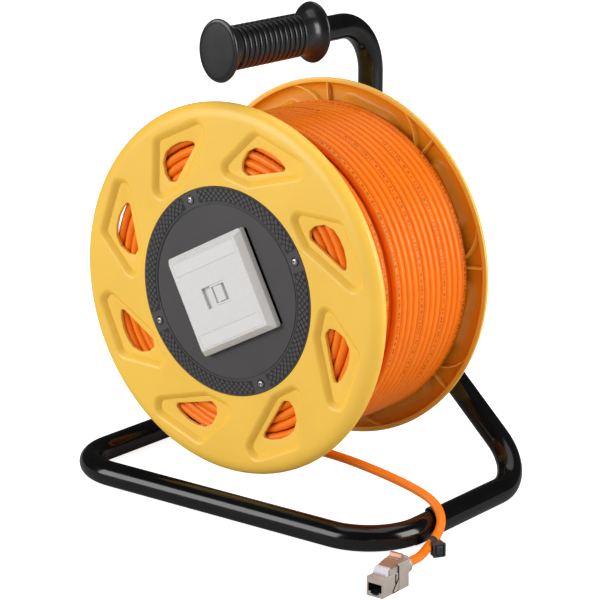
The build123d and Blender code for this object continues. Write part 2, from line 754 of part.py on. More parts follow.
lead_radii = corner_radii(lead_route)
with BuildPart() as cable_lead:
    with BuildLine() as lead_line:
        FilletPolyline(*lead_route, radius=lead_radii)
    with BuildSketch(Plane(lead_line.line @ 0, z_dir=lead_line.line % 0)):
        Circle(CABLE_R)
    sweep(path=lead_line.line)
write(cable_lead, "cable_lead")
lead_length = lead_line.wires()[0].length
section_volume = pi * CABLE_R**2 * lead_length
print("lead length", round(lead_length, 1), "radii", [round(r, 1) for r in lead_radii])
print("lead volume over section times length", round(cable_lead.part.volume / section_volume, 4))

# ---- releasable tie that holds the lead against the stand tube
TIE_T = 1.1
TIE_W = 6.0
TIE_TURN = -32.0                    # the strap runs outward and forward
TIE_Y = -47.0
tie_out = (cos(radians(TIE_TURN)), sin(radians(TIE_TURN)), 0)
tie_plane = Plane(origin=(BASE_HALF_W, TIE_Y, 0), x_dir=tie_out, z_dir=(tie_out[1], -tie_out[0], 0))
HEAD_U = 31.0


def tie_outline(grow):
    """Strap outline in the tie plane: round the tube, over the lead, to the head."""
    with BuildSketch() as outline:
        with Locations((0, TUBE_R)):
            Ellipse(TUBE_R / cos(radians(TIE_TURN)) + 3.4 + grow, TUBE_R + 0.4 + grow)
        with Locations((21, 8.4)):
            Ellipse(8.9 + grow, CABLE_R + 0.3 + grow)
        with Locations((HEAD_U, 5.4)):
            Rectangle(1.0 + 2 * grow, 4.0 + 2 * grow)
        make_hull()
    return outline.sketch


with BuildPart() as cable_tie:
    with BuildSketch(tie_plane.offset(-TIE_W / 2)):
        add(tie_outline(TIE_T))
        add(tie_outline(0), mode=Mode.SUBTRACT)
        with Locations((10, -9.9)):
            Rectangle(120, 20, mode=Mode.SUBTRACT)
    extrude(amount=TIE_W)
write(cable_tie, "cable_tie")

with BuildPart() as tie_head:
    with BuildSketch(tie_plane.offset(-4.6)):
        with Locations((HEAD_U + 5.6, 5.8)):
            RectangleRounded(7.6, 11.0, 1.5)
    extrude(amount=9.2)
write(tie_head, "tie_head")

# ---- shielded keystone jack on the end of the lead, lying on the floor
JACK_X = 196.25
JACK_W = 14.5
JACK_FRONT_Y = -159.75
JACK_SPLIT_Y = -141.0
JACK_REAR_Y = -128.25
JACK_FRONT_H = 14.8
JACK_REAR_H = 20.8
JACK_PORT_W = 11.8
LEAD_END_Z = 14.0


def jack_plane(y):
    """Plane across the jack at y, seen from its mouth, origin on the floor."""
    return Plane(origin=(JACK_X, y, 0), x_dir=(1, 0, 0), z_dir=(0, -1, 0))


with BuildPart() as jack_body:
    with BuildSketch(jack_plane(JACK_FRONT_Y)):
        with Locations((0, JACK_FRONT_H / 2)):
            RectangleRounded(JACK_W, JACK_FRONT_H, 0.8)
    extrude(amount=-(JACK_SPLIT_Y - JACK_FRONT_Y))
    with BuildSketch(jack_plane(JACK_FRONT_Y + 9)):
        with Locations((0, JACK_FRONT_H + 2)):
            Rectangle(JACK_W - 1.5, 4.4)
    extrude(amount=-(JACK_SPLIT_Y - JACK_FRONT_Y - 9))
    with BuildSketch(jack_plane(JACK_FRONT_Y)):
        with Locations((0, 6.9)):
            Rectangle(JACK_PORT_W, 6.4)
        with Locations((0, 3.2)):
            Rectangle(7.4, 2.4)
        with Locations((0, 2.0)):
            Rectangle(4.2, 1.4)
    extrude(amount=-14, mode=Mode.SUBTRACT)
write(jack_body, "jack_body")

with BuildPart() as jack_contacts:
    for contact in range(8):
        with BuildSketch(jack_plane(JACK_FRONT_Y + 3)):
            with Locations(((contact - 3.5) * CONTACT_PITCH, 9.5)):
                Rectangle(0.4, 1.0)
        extrude(amount=-10.5)
write(jack_contacts, "jack_contacts")

with BuildPart() as jack_cover:
    with BuildSketch(jack_plane(JACK_SPLIT_Y)):
        with Locations((0, JACK_REAR_H / 2)):
            RectangleRounded(JACK_W, JACK_REAR_H, 1.0)
    extrude(amount=-(JACK_REAR_Y - JACK_SPLIT_Y))
    with BuildSketch(jack_plane(JACK_REAR_Y)):
        with Locations((0, LEAD_END_Z)):
            Circle(6.2)
            Circle(CABLE_R + 1.1, mode=Mode.SUBTRACT)
    extrude(amount=-3.6)
    for side in (-1, 1):
        with BuildSketch(Plane(origin=(JACK_X + side * JACK_W / 2, 0, 0), x_dir=(0, 1, 0), z_dir=(1, 0, 0))):
            with BuildLine():
                Polyline(
                    (JACK_SPLIT_Y + 2, 1.0),
                    (JACK_SPLIT_Y - 6.5, 1.0),
                    (JACK_SPLIT_Y - 6.5, 2.6),
                    (JACK_SPLIT_Y, 10.0),
                    (JACK_SPLIT_Y + 2, 10.0),
                    close=True,
                )
            make_face()
        extrude(amount=side * 0.5)
write(jack_cover, "jack_cover")

with BuildPart() as jack_latch:
    with BuildSketch(Plane(origin=(JACK_X - 5.2, 0, 0), x_dir=(0, 1, 0), z_dir=(1, 0, 0))):
        with BuildLine():
            Polyline(
                (JACK_FRONT_Y + 10.5, JACK_FRONT_H + 4.2),
                (JACK_SPLIT_Y, JACK_FRONT_H + 4.2),
                (JACK_SPLIT_Y, JACK_REAR_H),
                (JACK_REAR_Y - 4, JACK_REAR_H),
                (JACK_REAR_Y - 4, JACK_REAR_H + 4.8),
                (JACK_REAR_Y - 6.5, JACK_REAR_H + 4.8),
                (JACK_REAR_Y - 7.5, JACK_REAR_H + 2.4),
                (JACK_SPLIT_Y - 2, JACK_REAR_H + 1.4),
                (JACK_FRONT_Y + 10.5, JACK_FRONT_H + 5.4),
                close=True,
            )
        make_face()
    extrude(amount=10.4)
write(jack_latch, "jack_latch")

with BuildPart() as jack_label:
    with BuildSketch(Plane(origin=(JACK_X - 5.6, 0, 0), x_dir=(0, 1, 0), z_dir=(1, 0, 0))):
        with BuildLine():
            Polyline(
                (JACK_FRONT_Y + 6.0, JACK_FRONT_H),
                (JACK_FRONT_Y + 9.0, JACK_FRONT_H),
                (JACK_FRONT_Y + 9.0, JACK_FRONT_H + 4.2),
                (JACK_FRONT_Y + 10.4, JACK_FRONT_H + 4.2),
                (JACK_FRONT_Y + 10.4, JACK_FRONT_H + 5.4),
                (JACK_FRONT_Y + 7.6, JACK_FRONT_H + 5.4),
                (JACK_FRONT_Y + 5.2, JACK_FRONT_H + 2.0),
                close=True,
            )
        make_face()
    extrude(amount=11.2)
write(jack_label, "jack_label")
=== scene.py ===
"""The looks of a portable network cable reel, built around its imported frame.

Metres, +Z up, the drum's outlet faces -Y.  Angles on the drum are seen from the
front: 0 points along +X and they grow anticlockwise.
"""
import json
from math import atan2, cos, hypot, pi, radians, sin

import bmesh
import bpy
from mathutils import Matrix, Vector

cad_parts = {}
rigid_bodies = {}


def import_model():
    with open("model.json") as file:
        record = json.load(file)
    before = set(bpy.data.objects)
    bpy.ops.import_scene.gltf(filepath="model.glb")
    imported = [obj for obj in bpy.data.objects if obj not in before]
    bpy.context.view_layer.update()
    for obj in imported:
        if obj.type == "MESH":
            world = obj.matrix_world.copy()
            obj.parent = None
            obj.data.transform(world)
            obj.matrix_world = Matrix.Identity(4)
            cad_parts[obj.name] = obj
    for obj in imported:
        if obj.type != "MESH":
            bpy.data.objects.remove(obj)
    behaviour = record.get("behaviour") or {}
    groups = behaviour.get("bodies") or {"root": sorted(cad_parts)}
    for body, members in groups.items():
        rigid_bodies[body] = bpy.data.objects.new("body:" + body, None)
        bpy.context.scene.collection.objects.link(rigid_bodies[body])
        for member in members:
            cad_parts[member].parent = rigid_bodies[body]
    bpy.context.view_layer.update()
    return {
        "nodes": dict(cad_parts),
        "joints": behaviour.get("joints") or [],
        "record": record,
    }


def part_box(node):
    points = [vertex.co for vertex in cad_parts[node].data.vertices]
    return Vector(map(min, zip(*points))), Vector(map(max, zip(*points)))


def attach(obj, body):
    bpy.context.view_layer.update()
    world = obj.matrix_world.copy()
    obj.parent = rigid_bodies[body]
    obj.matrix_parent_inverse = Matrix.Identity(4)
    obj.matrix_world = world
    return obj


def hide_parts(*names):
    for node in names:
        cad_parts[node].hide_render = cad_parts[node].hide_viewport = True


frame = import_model()
nodes = frame["nodes"]
MM = 0.001

# ---------------------------------------------------------------- sizes from the frame
drum_joint = next(j for j in frame["joints"] if j["name"] == "drum_spin")
AXIS_H = drum_joint["pos_m"][2]
DRUM = drum_joint["child"]
STAND = drum_joint["parent"]
FRONT_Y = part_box("front_flange")[0].y
REAR_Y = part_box("rear_flange")[1].y
MID_Y = (FRONT_Y + REAR_Y) / 2
FLANGE_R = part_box("front_flange")[1].x
PATTERN_TURN = 27.0                 # how far the drum stands turned on its axle
CABLE_R = 3.5 * MM


# ---------------------------------------------------------------- small tools
def drum_point(radius, angle, y):
    """Point on the drum from its radius in metres, its angle in degrees and y."""
    a = radians(angle)
    return Vector((radius * cos(a), y, AXIS_H + radius * sin(a)))


def smooth_step(x):
    """0 up to x = 0, 1 from x = 1, and a soft change between."""
    x = min(1.0, max(0.0, x))
    return x * x * (3 - 2 * x)


def bridge(bm, first, second, closed=True):
    """Quads between two loops of vertices that have the same count."""
    count = len(first)
    for i in range(count if closed else count - 1):
        j = (i + 1) % count
        bm.faces.new((first[i], first[j], second[j], second[i]))


def closed_form(bm, loops):
    """Quads from loop to loop of vertices, and a face over each end."""
    for first, second in zip(loops, loops[1:]):
        bridge(bm, first, second)
    bm.faces.new(loops[0])
    bm.faces.new(reversed(loops[-1]))


def direction(line, i):
    """Direction of a line of points at point i."""
    return (line[min(i + 1, len(line) - 1)] - line[max(i - 1, 0)]).normalized()


def lathe(bm, profile, place, segments):
    """Turns a profile of (radius, depth) about an axis; returns its loops of vertices.
    place(radius, angle, depth) gives the point."""
    loops = [[bm.verts.new(place(radius, 360 * i / segments, depth)) for i in range(segments)]
             for radius, depth in profile]
    for first, second in zip(loops, loops[1:]):
        bridge(bm, first, second)
    return loops


def new_object(name, data):
    """Object in the scene for a mesh, curve, light or camera."""
    made = bpy.data.objects.new(name, data)
    bpy.context.scene.collection.objects.link(made)
    return made


def add_piece(name, bm, body, material, replaced=(), crease=40):
    """Makes a shown piece from a bmesh: smooth shaded, riding on its body."""
    bmesh.ops.remove_doubles(bm, verts=bm.verts, dist=1e-7)
    bmesh.ops.recalc_face_normals(bm, faces=bm.faces)
    for face in bm.faces:
        face.smooth = True
    mesh = bpy.data.meshes.new(name)
    bm.to_mesh(mesh)
    bm.free()
    mesh.set_sharp_from_angle(angle=radians(crease))
    piece = new_object(name, mesh)
    mesh.materials.append(material)
    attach(piece, body)
    if replaced:
        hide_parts(*replaced)
    return piece


def soften(piece, width):
    """Small rounded edges, as every moulded or pressed piece has."""
    bevel = piece.modifiers.new("edge_round", "BEVEL")
    bevel.width = width
    bevel.segments = 2
    bevel.limit_method = "ANGLE"
    bevel.angle_limit = radians(30)
    bevel.harden_normals = True


# ================================================================ camera
CAMERA_PLACE = (1.1648, -1.4908, 0.6646)
CAMERA_AZIMUTH = 37.886
CAMERA_ELEVATION = 15.173
CAMERA_LENS = 149.0

camera_data = bpy.data.cameras.new("camera")
camera_data.lens = CAMERA_LENS
camera_data.sensor_width = 36.0
camera_data.clip_end = 50.0
camera = new_object("camera", camera_data)
camera.location = CAMERA_PLACE
camera.rotation_euler = (radians(90 - CAMERA_ELEVATION), 0, radians(CAMERA_AZIMUTH))
bpy.context.scene.camera = camera


# ================================================================ materials
def sockets_of(material):
    """Inputs of a material's shader."""
    return material.node_tree.nodes["Principled BSDF"].inputs


def new_material(name, color, roughness, **sockets):
    """Principled material; sockets are its other inputs, with _ for a blank."""
    material = bpy.data.materials.new(name)
    material.use_nodes = True
    sockets_of(material)["Base Color"].default_value = (*color, 1)
    sockets_of(material)["Roughness"].default_value = roughness
    for key, value in sockets.items():
        sockets_of(material)[key.replace("_", " ")].default_value = value
    material.diffuse_color = (*color, 1)
    return material


def add_node(material, kind, **settings):
    """New shader node with its own settings, which aren't its sockets."""
    node = material.node_tree.nodes.new(kind)
    for key, value in settings.items():
        setattr(node, key, value)
    return node


def calculate(material, operation, *values):
    """Math node on numbers and on what other nodes give."""
    node = add_node(material, "ShaderNodeMath", operation=operation)
    for socket, value in zip(node.inputs, values):
        if isinstance(value, float):
            socket.default_value = value
        else:
            material.node_tree.links.new(value, socket)
    return node.outputs["Value"]


def noise(material, scale, detail):
    """Noise texture on the object's own coordinates, so that it moves with the piece."""
    place = add_node(material, "ShaderNodeTexCoord")
    texture = add_node(material, "ShaderNodeTexNoise")
    texture.inputs["Scale"].default_value = scale
    texture.inputs["Detail"].default_value = detail
    material.node_tree.links.new(place.outputs["Object"], texture.inputs["Vector"])
    return texture.outputs["Fac"]


def gloss(material, value, low, high):
    """Roughness that wanders from low to high as a noise value does."""
    spread = add_node(material, "ShaderNodeMapRange")
    for key, number in (("From Min", 0.3), ("From Max", 0.7), ("To Min", low), ("To Max", high)):
        spread.inputs[key].default_value = number
    links = material.node_tree.links
    links.new(value, spread.inputs["Value"])
    links.new(spread.outputs["Result"], sockets_of(material)["Roughness"])


def tint(material, value, dark, light):
    """Colour that wanders between two close shades as a noise value does."""
    ramp = add_node(material, "ShaderNodeValToRGB")
    for element, position, color in zip(ramp.color_ramp.elements, (0.35, 0.65), (dark, light)):
        element.position = position
        element.color = (*color, 1)
    links = material.node_tree.links
    links.new(value, ramp.inputs["Fac"])
    links.new(ramp.outputs["Color"], sockets_of(material)["Base Color"])


def bump(material, *layers):
    """Bump from (value, height in metres) layers, one on the other."""
    links = material.node_tree.links
    normal = None
    for value, height in layers:
        relief = add_node(material, "ShaderNodeBump")
        relief.inputs["Strength"].default_value = 1.0
        relief.inputs["Distance"].default_value = height
        links.new(value, relief.inputs["Height"])
        if normal:
            links.new(normal, relief.inputs["Normal"])
        normal = relief.outputs["Normal"]
    links.new(normal, sockets_of(material)["Normal"])


def shades(color, spread):
    """A darker and a lighter shade of one colour."""
    return tuple(c * (1 - spread) for c in color), tuple(min(1, c * (1 + spread)) for c in color)


def moulded(name, color, roughness, spread=0.03, grain=1400, grain_height=0.00001, **sockets):
    """Injection moulded plastic: faint flow marks, fine erosion grain, uneven gloss."""
    material = new_material(name, color, roughness, **sockets)
    tint(material, noise(material, 18, 2), *shades(color, spread))
    gloss(material, noise(material, 60, 4), roughness - 0.04, roughness + 0.05)
    bump(material, (noise(material, grain, 2), grain_height))
    return material


YELLOW = (0.97, 0.585, 0.072)
ORANGE = (1.0, 0.215, 0.003)

yellow_plastic = moulded("yellow_plastic", YELLOW, 0.36, spread=0.025, grain=1700,
                         grain_height=0.000012, Subsurface_Weight=0.06, Subsurface_Scale=0.004)
sockets_of(yellow_plastic)["Subsurface Radius"].default_value = (1.0, 0.5, 0.15)
# Deeper orange for the flange walls that face the winding: painted shade and painted orange bounce
# light from the winding, not a colour of the plastic.
painted_bounce_plastic = moulded("painted_bounce_plastic", (0.8, 0.335, 0.012), 0.36, spread=0.025, grain=1700,
                         grain_height=0.000012)
cover_plastic = moulded("cover_plastic", (0.056, 0.052, 0.055), 0.5, spread=0.05, grain=2200,
                        grain_height=0.00003)
# Near black plastic for painted shade in the knurl's grooves.
painted_groove_shade = moulded("painted_groove_shade", (0.018, 0.017, 0.018), 0.7)
box_plastic = moulded("box_plastic", (0.02, 0.02, 0.021), 0.5)
white_plastic = moulded("white_plastic", (0.76, 0.745, 0.735), 0.26, spread=0.01, grain=900,
                        grain_height=0.000003, Coat_Weight=0.15)
label_plastic = moulded("label_plastic", (0.78, 0.77, 0.765), 0.2, spread=0.01, grain=700,
                        grain_height=0.000002, Coat_Weight=0.3)
jack_label_plastic = moulded("jack_label_plastic", (0.70, 0.67, 0.74), 0.25, spread=0.02, grain=900,
                             grain_height=0.000003)
port_plastic = moulded("port_plastic", (0.02, 0.02, 0.02), 0.4)
bearing_plastic = moulded("bearing_plastic", (0.78, 0.77, 0.72), 0.4)
grommet_rubber = moulded("grommet_rubber", (0.02, 0.02, 0.02), 0.7, grain=900, grain_height=0.00003)
grip_plastic = moulded("grip_plastic", (0.01, 0.01, 0.011), 0.3, spread=0.1, grain=700,
                       grain_height=0.00002, Coat_Weight=0.15)
cap_plastic = moulded("cap_plastic", (0.0095, 0.0095, 0.01), 0.6, spread=0.06, grain=1600,
                      grain_height=0.00004)
tie_plastic = moulded("tie_plastic", (0.035, 0.04, 0.05), 0.4, spread=0.08, grain=1500,
                      grain_height=0.00001)


def cable_jacket(name):
    """Satin cable jacket: cloudy colour and gloss, a soft waviness and a fine grain."""
    material = new_material(name, ORANGE, 0.36, Specular_IOR_Level=0.35)
    tint(material, noise(material, 45, 3), *shades(ORANGE, 0.04))
    gloss(material, noise(material, 160, 3), 0.31, 0.43)
    bump(material, (noise(material, 90, 2), 0.00012), (noise(material, 1300, 2), 0.000008))
    return material


PRINT_SIDE = 0.96                   # where round the cable the print runs, 0 to 1
PRINT_HALF = 0.035                  # half the height of the print, on the same scale
PRINT_RUNS = 0.96                   # printed runs on a metre of cable
PRINT_SHARE = 0.2                   # how much of the length is printed
PRINT_TICKS = 420.0                 # noise scale that gives the ticks their width
PRINT_DARK = 0.6
PRINT_INK = (0.10, 0.02, 0.008)


def print_marks(material):
    """Faint rows of dark ticks along one side of the cable, standing for its print."""
    links = material.node_tree.links
    base_color = sockets_of(material)["Base Color"]
    plain = base_color.links[0].from_socket
    along = add_node(material, "ShaderNodeUVMap", uv_map="along")
    split = add_node(material, "ShaderNodeSeparateXYZ")
    links.new(along.outputs["UV"], split.inputs["Vector"])
    ticks = add_node(material, "ShaderNodeTexNoise", noise_dimensions="1D")
    ticks.inputs["Scale"].default_value = PRINT_TICKS
    ticks.inputs["Detail"].default_value = 1.0
    links.new(split.outputs["X"], ticks.inputs["W"])
    inked = calculate(material, "GREATER_THAN", ticks.outputs["Fac"], 0.5)
    runs = calculate(material, "MULTIPLY", split.outputs["X"], PRINT_RUNS)
    block = calculate(material, "LESS_THAN", calculate(material, "FRACT", runs), PRINT_SHARE)
    aside = calculate(material, "SUBTRACT", split.outputs["Y"], PRINT_SIDE)
    near = calculate(material, "LESS_THAN", calculate(material, "ABSOLUTE", aside), PRINT_HALF)
    there = calculate(material, "MULTIPLY", inked, block)
    amount = calculate(material, "MULTIPLY", there, calculate(material, "MULTIPLY", near, PRINT_DARK))
    # A colour mix has its amount at socket 0, its two colours at 6 and 7, its result at 2.
    mix = add_node(material, "ShaderNodeMix", data_type="RGBA")
    mix.inputs[7].default_value = (*PRINT_INK, 1)
    links.new(amount, mix.inputs[0])
    links.new(plain, mix.inputs[6])
    links.new(mix.outputs[2], base_color)


orange_jacket = cable_jacket("orange_jacket")
printed_jacket = cable_jacket("printed_jacket")
print_marks(printed_jacket)


def enamel(name):
    """Thick gloss enamel on tube, with a slight orange peel."""
    material = new_material(name, (0.003, 0.003, 0.0032), 0.13)
    tint(material, noise(material, 25, 2), (0.003, 0.003, 0.0032), (0.005, 0.005, 0.0053))
    gloss(material, noise(material, 90, 5), 0.1, 0.19)
    bump(material, (noise(material, 260, 2), 0.00002))
    return material


black_enamel = enamel("black_enamel")


def metal(name, color, roughness, grain_scale=400, height=0.00001):
    """Plated metal: cloudy colour and gloss, and a fine grain."""
    material = new_material(name, color, roughness, Metallic=1.0)
    tint(material, noise(material, 120, 4), *shades(color, 0.07))
    gloss(material, noise(material, 300, 4), roughness - 0.05, roughness + 0.08)
    bump(material, (noise(material, grain_scale, 3), height))
    return material


def cast_zinc(name, color):
    """Matt nickel-plated die casting: half metal, with a pale soft sheen."""
    material = metal(name, color, 0.38, grain_scale=1500, height=0.00003)
    sockets_of(material)["Metallic"].default_value = 0.45
    return material


zinc_plated_steel = metal("zinc_plated_steel", (0.62, 0.62, 0.63), 0.3)
screw_steel = metal("screw_steel", (0.42, 0.42, 0.44), 0.32)
gold_contact = metal("gold_contact", (0.83, 0.62, 0.25), 0.25)
jack_zinc = cast_zinc("jack_zinc", (0.56, 0.49, 0.43))
jack_copper = cast_zinc("jack_copper", (0.42, 0.24, 0.16))
seam_shade = metal("seam_shade", (0.05, 0.03, 0.025), 0.6)

node_looks = {
    "black_enamel": black_enamel, "grip_plastic": grip_plastic, "cap_plastic": cap_plastic,
    "zinc_plated_steel": zinc_plated_steel, "screw_steel": screw_steel,
    "bearing_plastic": bearing_plastic, "yellow_plastic": yellow_plastic,
    "cover_plastic": cover_plastic, "box_plastic": box_plastic, "grommet_rubber": grommet_rubber,
    "orange_jacket": orange_jacket, "white_plastic": white_plastic,
    "label_plastic": label_plastic, "port_plastic": port_plastic, "gold_contact": gold_contact,
    "tie_plastic": tie_plastic, "jack_zinc": jack_zinc, "jack_copper": jack_copper,
}
for part in frame["record"]["subparts"]:
    node = nodes[part["node"]]
    node.data.materials.clear()
    node.data.materials.append(node_looks[part["material_slot"]])
nodes["jack_label"].data.materials[0] = jack_label_plastic


# ================================================================ cords
def nurbs_cord(name, points, steps):
    """Curve of one smooth spline along control points, still without thickness."""
    curve = bpy.data.curves.new(name, "CURVE")
    curve.dimensions = "3D"
    spline = curve.splines.new("NURBS")
    spline.points.add(len(points) - 1)
    for control, point in zip(spline.points, points):
        control.co = (*point, 1)
    spline.order_u = 3
    spline.use_endpoint_u = True
    spline.resolution_u = steps
    curve.resolution_u = steps
    return new_object(name, curve)


def cord_path(name, points, steps):
    """Points of the smooth line along control points."""
    guide = nurbs_cord(name, points, steps)
    line = bpy.data.meshes.new_from_object(guide)
    path = [vertex.co.copy() for vertex in line.vertices]
    bpy.data.objects.remove(guide)
    bpy.data.meshes.remove(line)
    return path


# ---- the winding: six layers, there and back along the barrel
BARREL_R = 84.0                     # outside radius of the barrel, in millimetres
TURN_POINTS = 12                    # control points in a turn
CHORD_SHARE = 0.9664                # the smooth line's radius as a share of its control points'
TAIL_ANGLE = PATTERN_TURN - 90
winding_low, winding_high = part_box("cable_winding")
FRONT_TURN_Y = winding_low.y + CABLE_R
REAR_TURN_Y = winding_high.y - CABLE_R
LAST_TURN_Y = -36.5 * MM            # where the outer layer stops, short of the front flange
EXIT_Y = -49.75 * MM                # where the lead leaves the winding
CROSS_POINTS = 7                    # control points in which the last turn crosses to the lead
OUTER_R = AXIS_H - 52.5 * MM        # the lead leaves the lowest point of the last turn
TAIL_Y = -68.0 * MM                 # where the cable comes out of the barrel
CLIMB = 75.0                        # degrees in which the cable climbs to its next layer
WANDER = 0.12 * MM                  # how far a turn strays from an even pitch
WANDER_PACE = 0.37                  # waves of that straying in a turn
HOLD = 11                           # control points that lie flat against a flange
SLACK = 2.0 * MM                    # how far the turns beside the front flange are out of round
SLACK_DEPTH = 9.0 * MM              # how far from that flange the slack has gone
layer_steps = [164, 171, 166, 171, 222, 161]    # control points in each layer
layer_ends = [TAIL_Y, REAR_TURN_Y, FRONT_TURN_Y, REAR_TURN_Y, FRONT_TURN_Y, REAR_TURN_Y, LAST_TURN_Y]
layer_radii = [OUTER_R - r * MM for r in (35.3, 28.3, 21.3, 14.3, 6.2, 0.0)]


def winding_points():
    """Control points of every turn, from the hole in the barrel to the lead."""
    points = []
    step = 360 / TURN_POINTS
    angle = TAIL_ANGLE
    for layer, count in enumerate(layer_steps):
        last = layer == len(layer_steps) - 1
        rise = 0.0 if last else layer_radii[layer + 1] - layer_radii[layer]
        for i in range(count):
            held = [HOLD if y in (FRONT_TURN_Y, REAR_TURN_Y) else 0
                    for y in layer_ends[layer:layer + 2]]
            if last:
                held[1] = CROSS_POINTS
            along = min(1.0, max(0.0, (i - held[0]) / (count - sum(held))))
            climb = smooth_step(1 - (count - i) * step / CLIMB)
            radius = layer_radii[layer] + rise * climb
            wander = WANDER * sin(radians(angle * WANDER_PACE)) * sin(pi * along)
            y = layer_ends[layer] + (layer_ends[layer + 1] - layer_ends[layer]) * along
            if last:
                y += (EXIT_Y - LAST_TURN_Y) * smooth_step(1 - (count - i) / CROSS_POINTS)
            loose = SLACK * sin(radians(4 * angle)) * smooth_step(1 - (y - FRONT_TURN_Y) / SLACK_DEPTH)
            points.append(drum_point((radius + loose) / CHORD_SHARE, angle, y + wander))
            angle += step
    points.append(drum_point(OUTER_R, -90, EXIT_Y))
    return points


def wound_tube(name, controls, steps, sides):
    """Mesh tube along the smooth line through the control points. Its rings stand
    square to the line and keep one side turned away from the drum's axis."""
    path = cord_path(name + "_guide", controls, steps)
    bm = bmesh.new()
    uv = bm.loops.layers.uv.new("along")
    rings = []
    lengths = [0.0]
    for i, here in enumerate(path):
        tangent = direction(path, i)
        outward = Vector((here.x, 0, here.z - AXIS_H))
        outward = (outward - outward.dot(tangent) * tangent).normalized()
        across = tangent.cross(outward)
        ring = []
        for k in range(sides):
            a = 2 * pi * k / sides
            ring.append(bm.verts.new(here + CABLE_R * (cos(a) * outward + sin(a) * across)))
        rings.append(ring)
        if i:
            lengths.append(lengths[-1] + (here - path[i - 1]).length)
    for i in range(len(path) - 1):
        for k in range(sides):
            j = (k + 1) % sides
            face = bm.faces.new((rings[i][k], rings[i][j], rings[i + 1][j], rings[i + 1][k]))
            face.smooth = True
            corners = ((i, k), (i, k + 1), (i + 1, k + 1), (i + 1, k))
            for loop, (row, column) in zip(face.loops, corners):
                loop[uv].uv = (lengths[row], column / sides)
    bm.faces.new(reversed(rings[0]))
    bm.faces.new(rings[-1])
    bmesh.ops.recalc_face_normals(bm, faces=bm.faces)
    mesh = bpy.data.meshes.new(name)
    bm.to_mesh(mesh)
    bm.free()
    piece = new_object(name, mesh)
    mesh.materials.append(printed_jacket)
    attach(piece, DRUM)
    return piece, path


cable_turns, winding_path = wound_tube("cable_turns", winding_points(), 5, 12)
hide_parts("cable_winding")

# ---- the free lead, with the route that the frame's tube has
lead_route = [
    (0, -49.75, 52.5),
    (38, -49.25, 52.0),
    (76, -44.75, 50.1),
    (112, -39.75, 43.3),
    (140, -33.75, 34.8),
    (160, -33.0, 27.2),
    (171, -39.5, 18.0),
    (174.3, -49.5, 10.0),
    (177, -64.5, 6.6),
    (186, -86.5, 7.8),
    (194.8, -107, 12.4),
    (196.25, -127.7, 14),
]
free_lead = nurbs_cord("free_lead", [Vector(p) * MM for p in lead_route], 16)
free_lead.data.bevel_depth = CABLE_R
free_lead.data.bevel_resolution = 6
free_lead.data.use_fill_caps = True
free_lead.data.materials.append(orange_jacket)
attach(free_lead, STAND)
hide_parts("cable_lead")


# ================================================================ flanges
# Millimetres, and degrees, in the flange's own plane.
PANEL_T = 3.0                       # wall of the panel
RIM_DEPTH = 8.6                     # how far the rolled rim stands in from the outside face
RIM_T = 4.2
COVER_SEAT_R = 81.8
COVER_SEAT_DEPTH = 2.5
COVER_BORE_R = 69.0
WINDOWS = 8
WINDOW_START = -0.8                 # turn of the windows against the drum's own angle
POCKET_DEPTH = 4.0
POCKET_ROUNDING = 4.0
WINDOW_ROUNDING = 2.5
ROLL_START = 133.8                  # radius where the panel turns over into the rim
SLOPE_W = 5.6                       # width of the soft slope from the pocket up to the panel
ARC_POINTS = 30                     # points along one pocket's share of a circle
SIDE_POINTS = 24                    # points across the panel between two pockets
SECTOR = (-18.7, 26.3)              # one pocket's share of the panel, in degrees
SKIN_SEGMENTS = ARC_POINTS * WINDOWS
pocket_corners = [(87.5, 34), (90, 8), (117.5, -33.5), (125.5, -31), (126.5, 13)]
window_corners = [(113.6, -21.5), (117.6, -13), (119.4, -4), (118.9, 5), (116.8, 12), (110.4, 18),
                  (101, 20), (94.6, 18.2), (92.8, 12.2)]
pocket_middle = (108.0, 1.0)


def outline_distance(corners, rounding, x, y):
    """Distance from a point to a convex outline whose corners are rounded; under 0 inside."""
    inside = True
    nearest = 1e9
    for (ax, ay), (bx, by) in zip(corners, corners[1:] + corners[:1]):
        dx, dy = bx - ax, by - ay
        share = ((x - ax) * dx + (y - ay) * dy) / (dx * dx + dy * dy)
        share = min(1.0, max(0.0, share))
        nearest = min(nearest, hypot(x - ax - share * dx, y - ay - share * dy))
        if dx * (y - ay) - dy * (x - ax) < 0:
            inside = False
    return (-nearest if inside else nearest) - rounding


def inset(corners, amount):
    """A convex outline moved inwards by amount."""
    moved = []
    for before, here, after in zip(corners[-1:] + corners[:-1], corners, corners[1:] + corners[:1]):
        ux, uy = here[0] - before[0], here[1] - before[1]
        vx, vy = after[0] - here[0], after[1] - here[1]
        lu, lv = hypot(ux, uy), hypot(vx, vy)
        ux, uy, vx, vy = ux / lu, uy / lu, vx / lv, vy / lv
        cross = ux * vy - uy * vx
        moved.append((here[0] + amount * (vx - ux) / cross, here[1] + amount * (vy - uy) / cross))
    return moved


def sector_edge(inner_r, outer_r):
    """Edge of one pocket's share of the panel, anticlockwise, as (radius, angle)."""
    low, high = SECTOR
    arc = [(high - low) * i / ARC_POINTS for i in range(ARC_POINTS)]
    side = [(outer_r - inner_r) * i / SIDE_POINTS for i in range(SIDE_POINTS)]
    edge = [(outer_r, low + a) for a in arc] + [(outer_r - r, high) for r in side]
    return edge + [(inner_r, high - a) for a in arc] + [(inner_r + r, low) for r in side]


def outline_loop(corners, rounding, level):
    """Points where the rounded outline, grown by level, meets rays from the middle
    of the pocket to the edge of its share of the panel."""
    core = inset(corners, rounding)
    loop = []
    for radius, angle in sector_edge(COVER_SEAT_R, ROLL_START):
        edge_x, edge_y = radius * cos(radians(angle)), radius * sin(radians(angle))
        a = atan2(edge_y - pocket_middle[1], edge_x - pocket_middle[0])
        near, far = 0.0, 60.0
        for _ in range(40):
            reach = (near + far) / 2
            x = pocket_middle[0] + reach * cos(a)
            y = pocket_middle[1] + reach * sin(a)
            if outline_distance(core, rounding, x, y) < level:
                near = reach
            else:
                far = reach
        loop.append((x, y))
    return loop


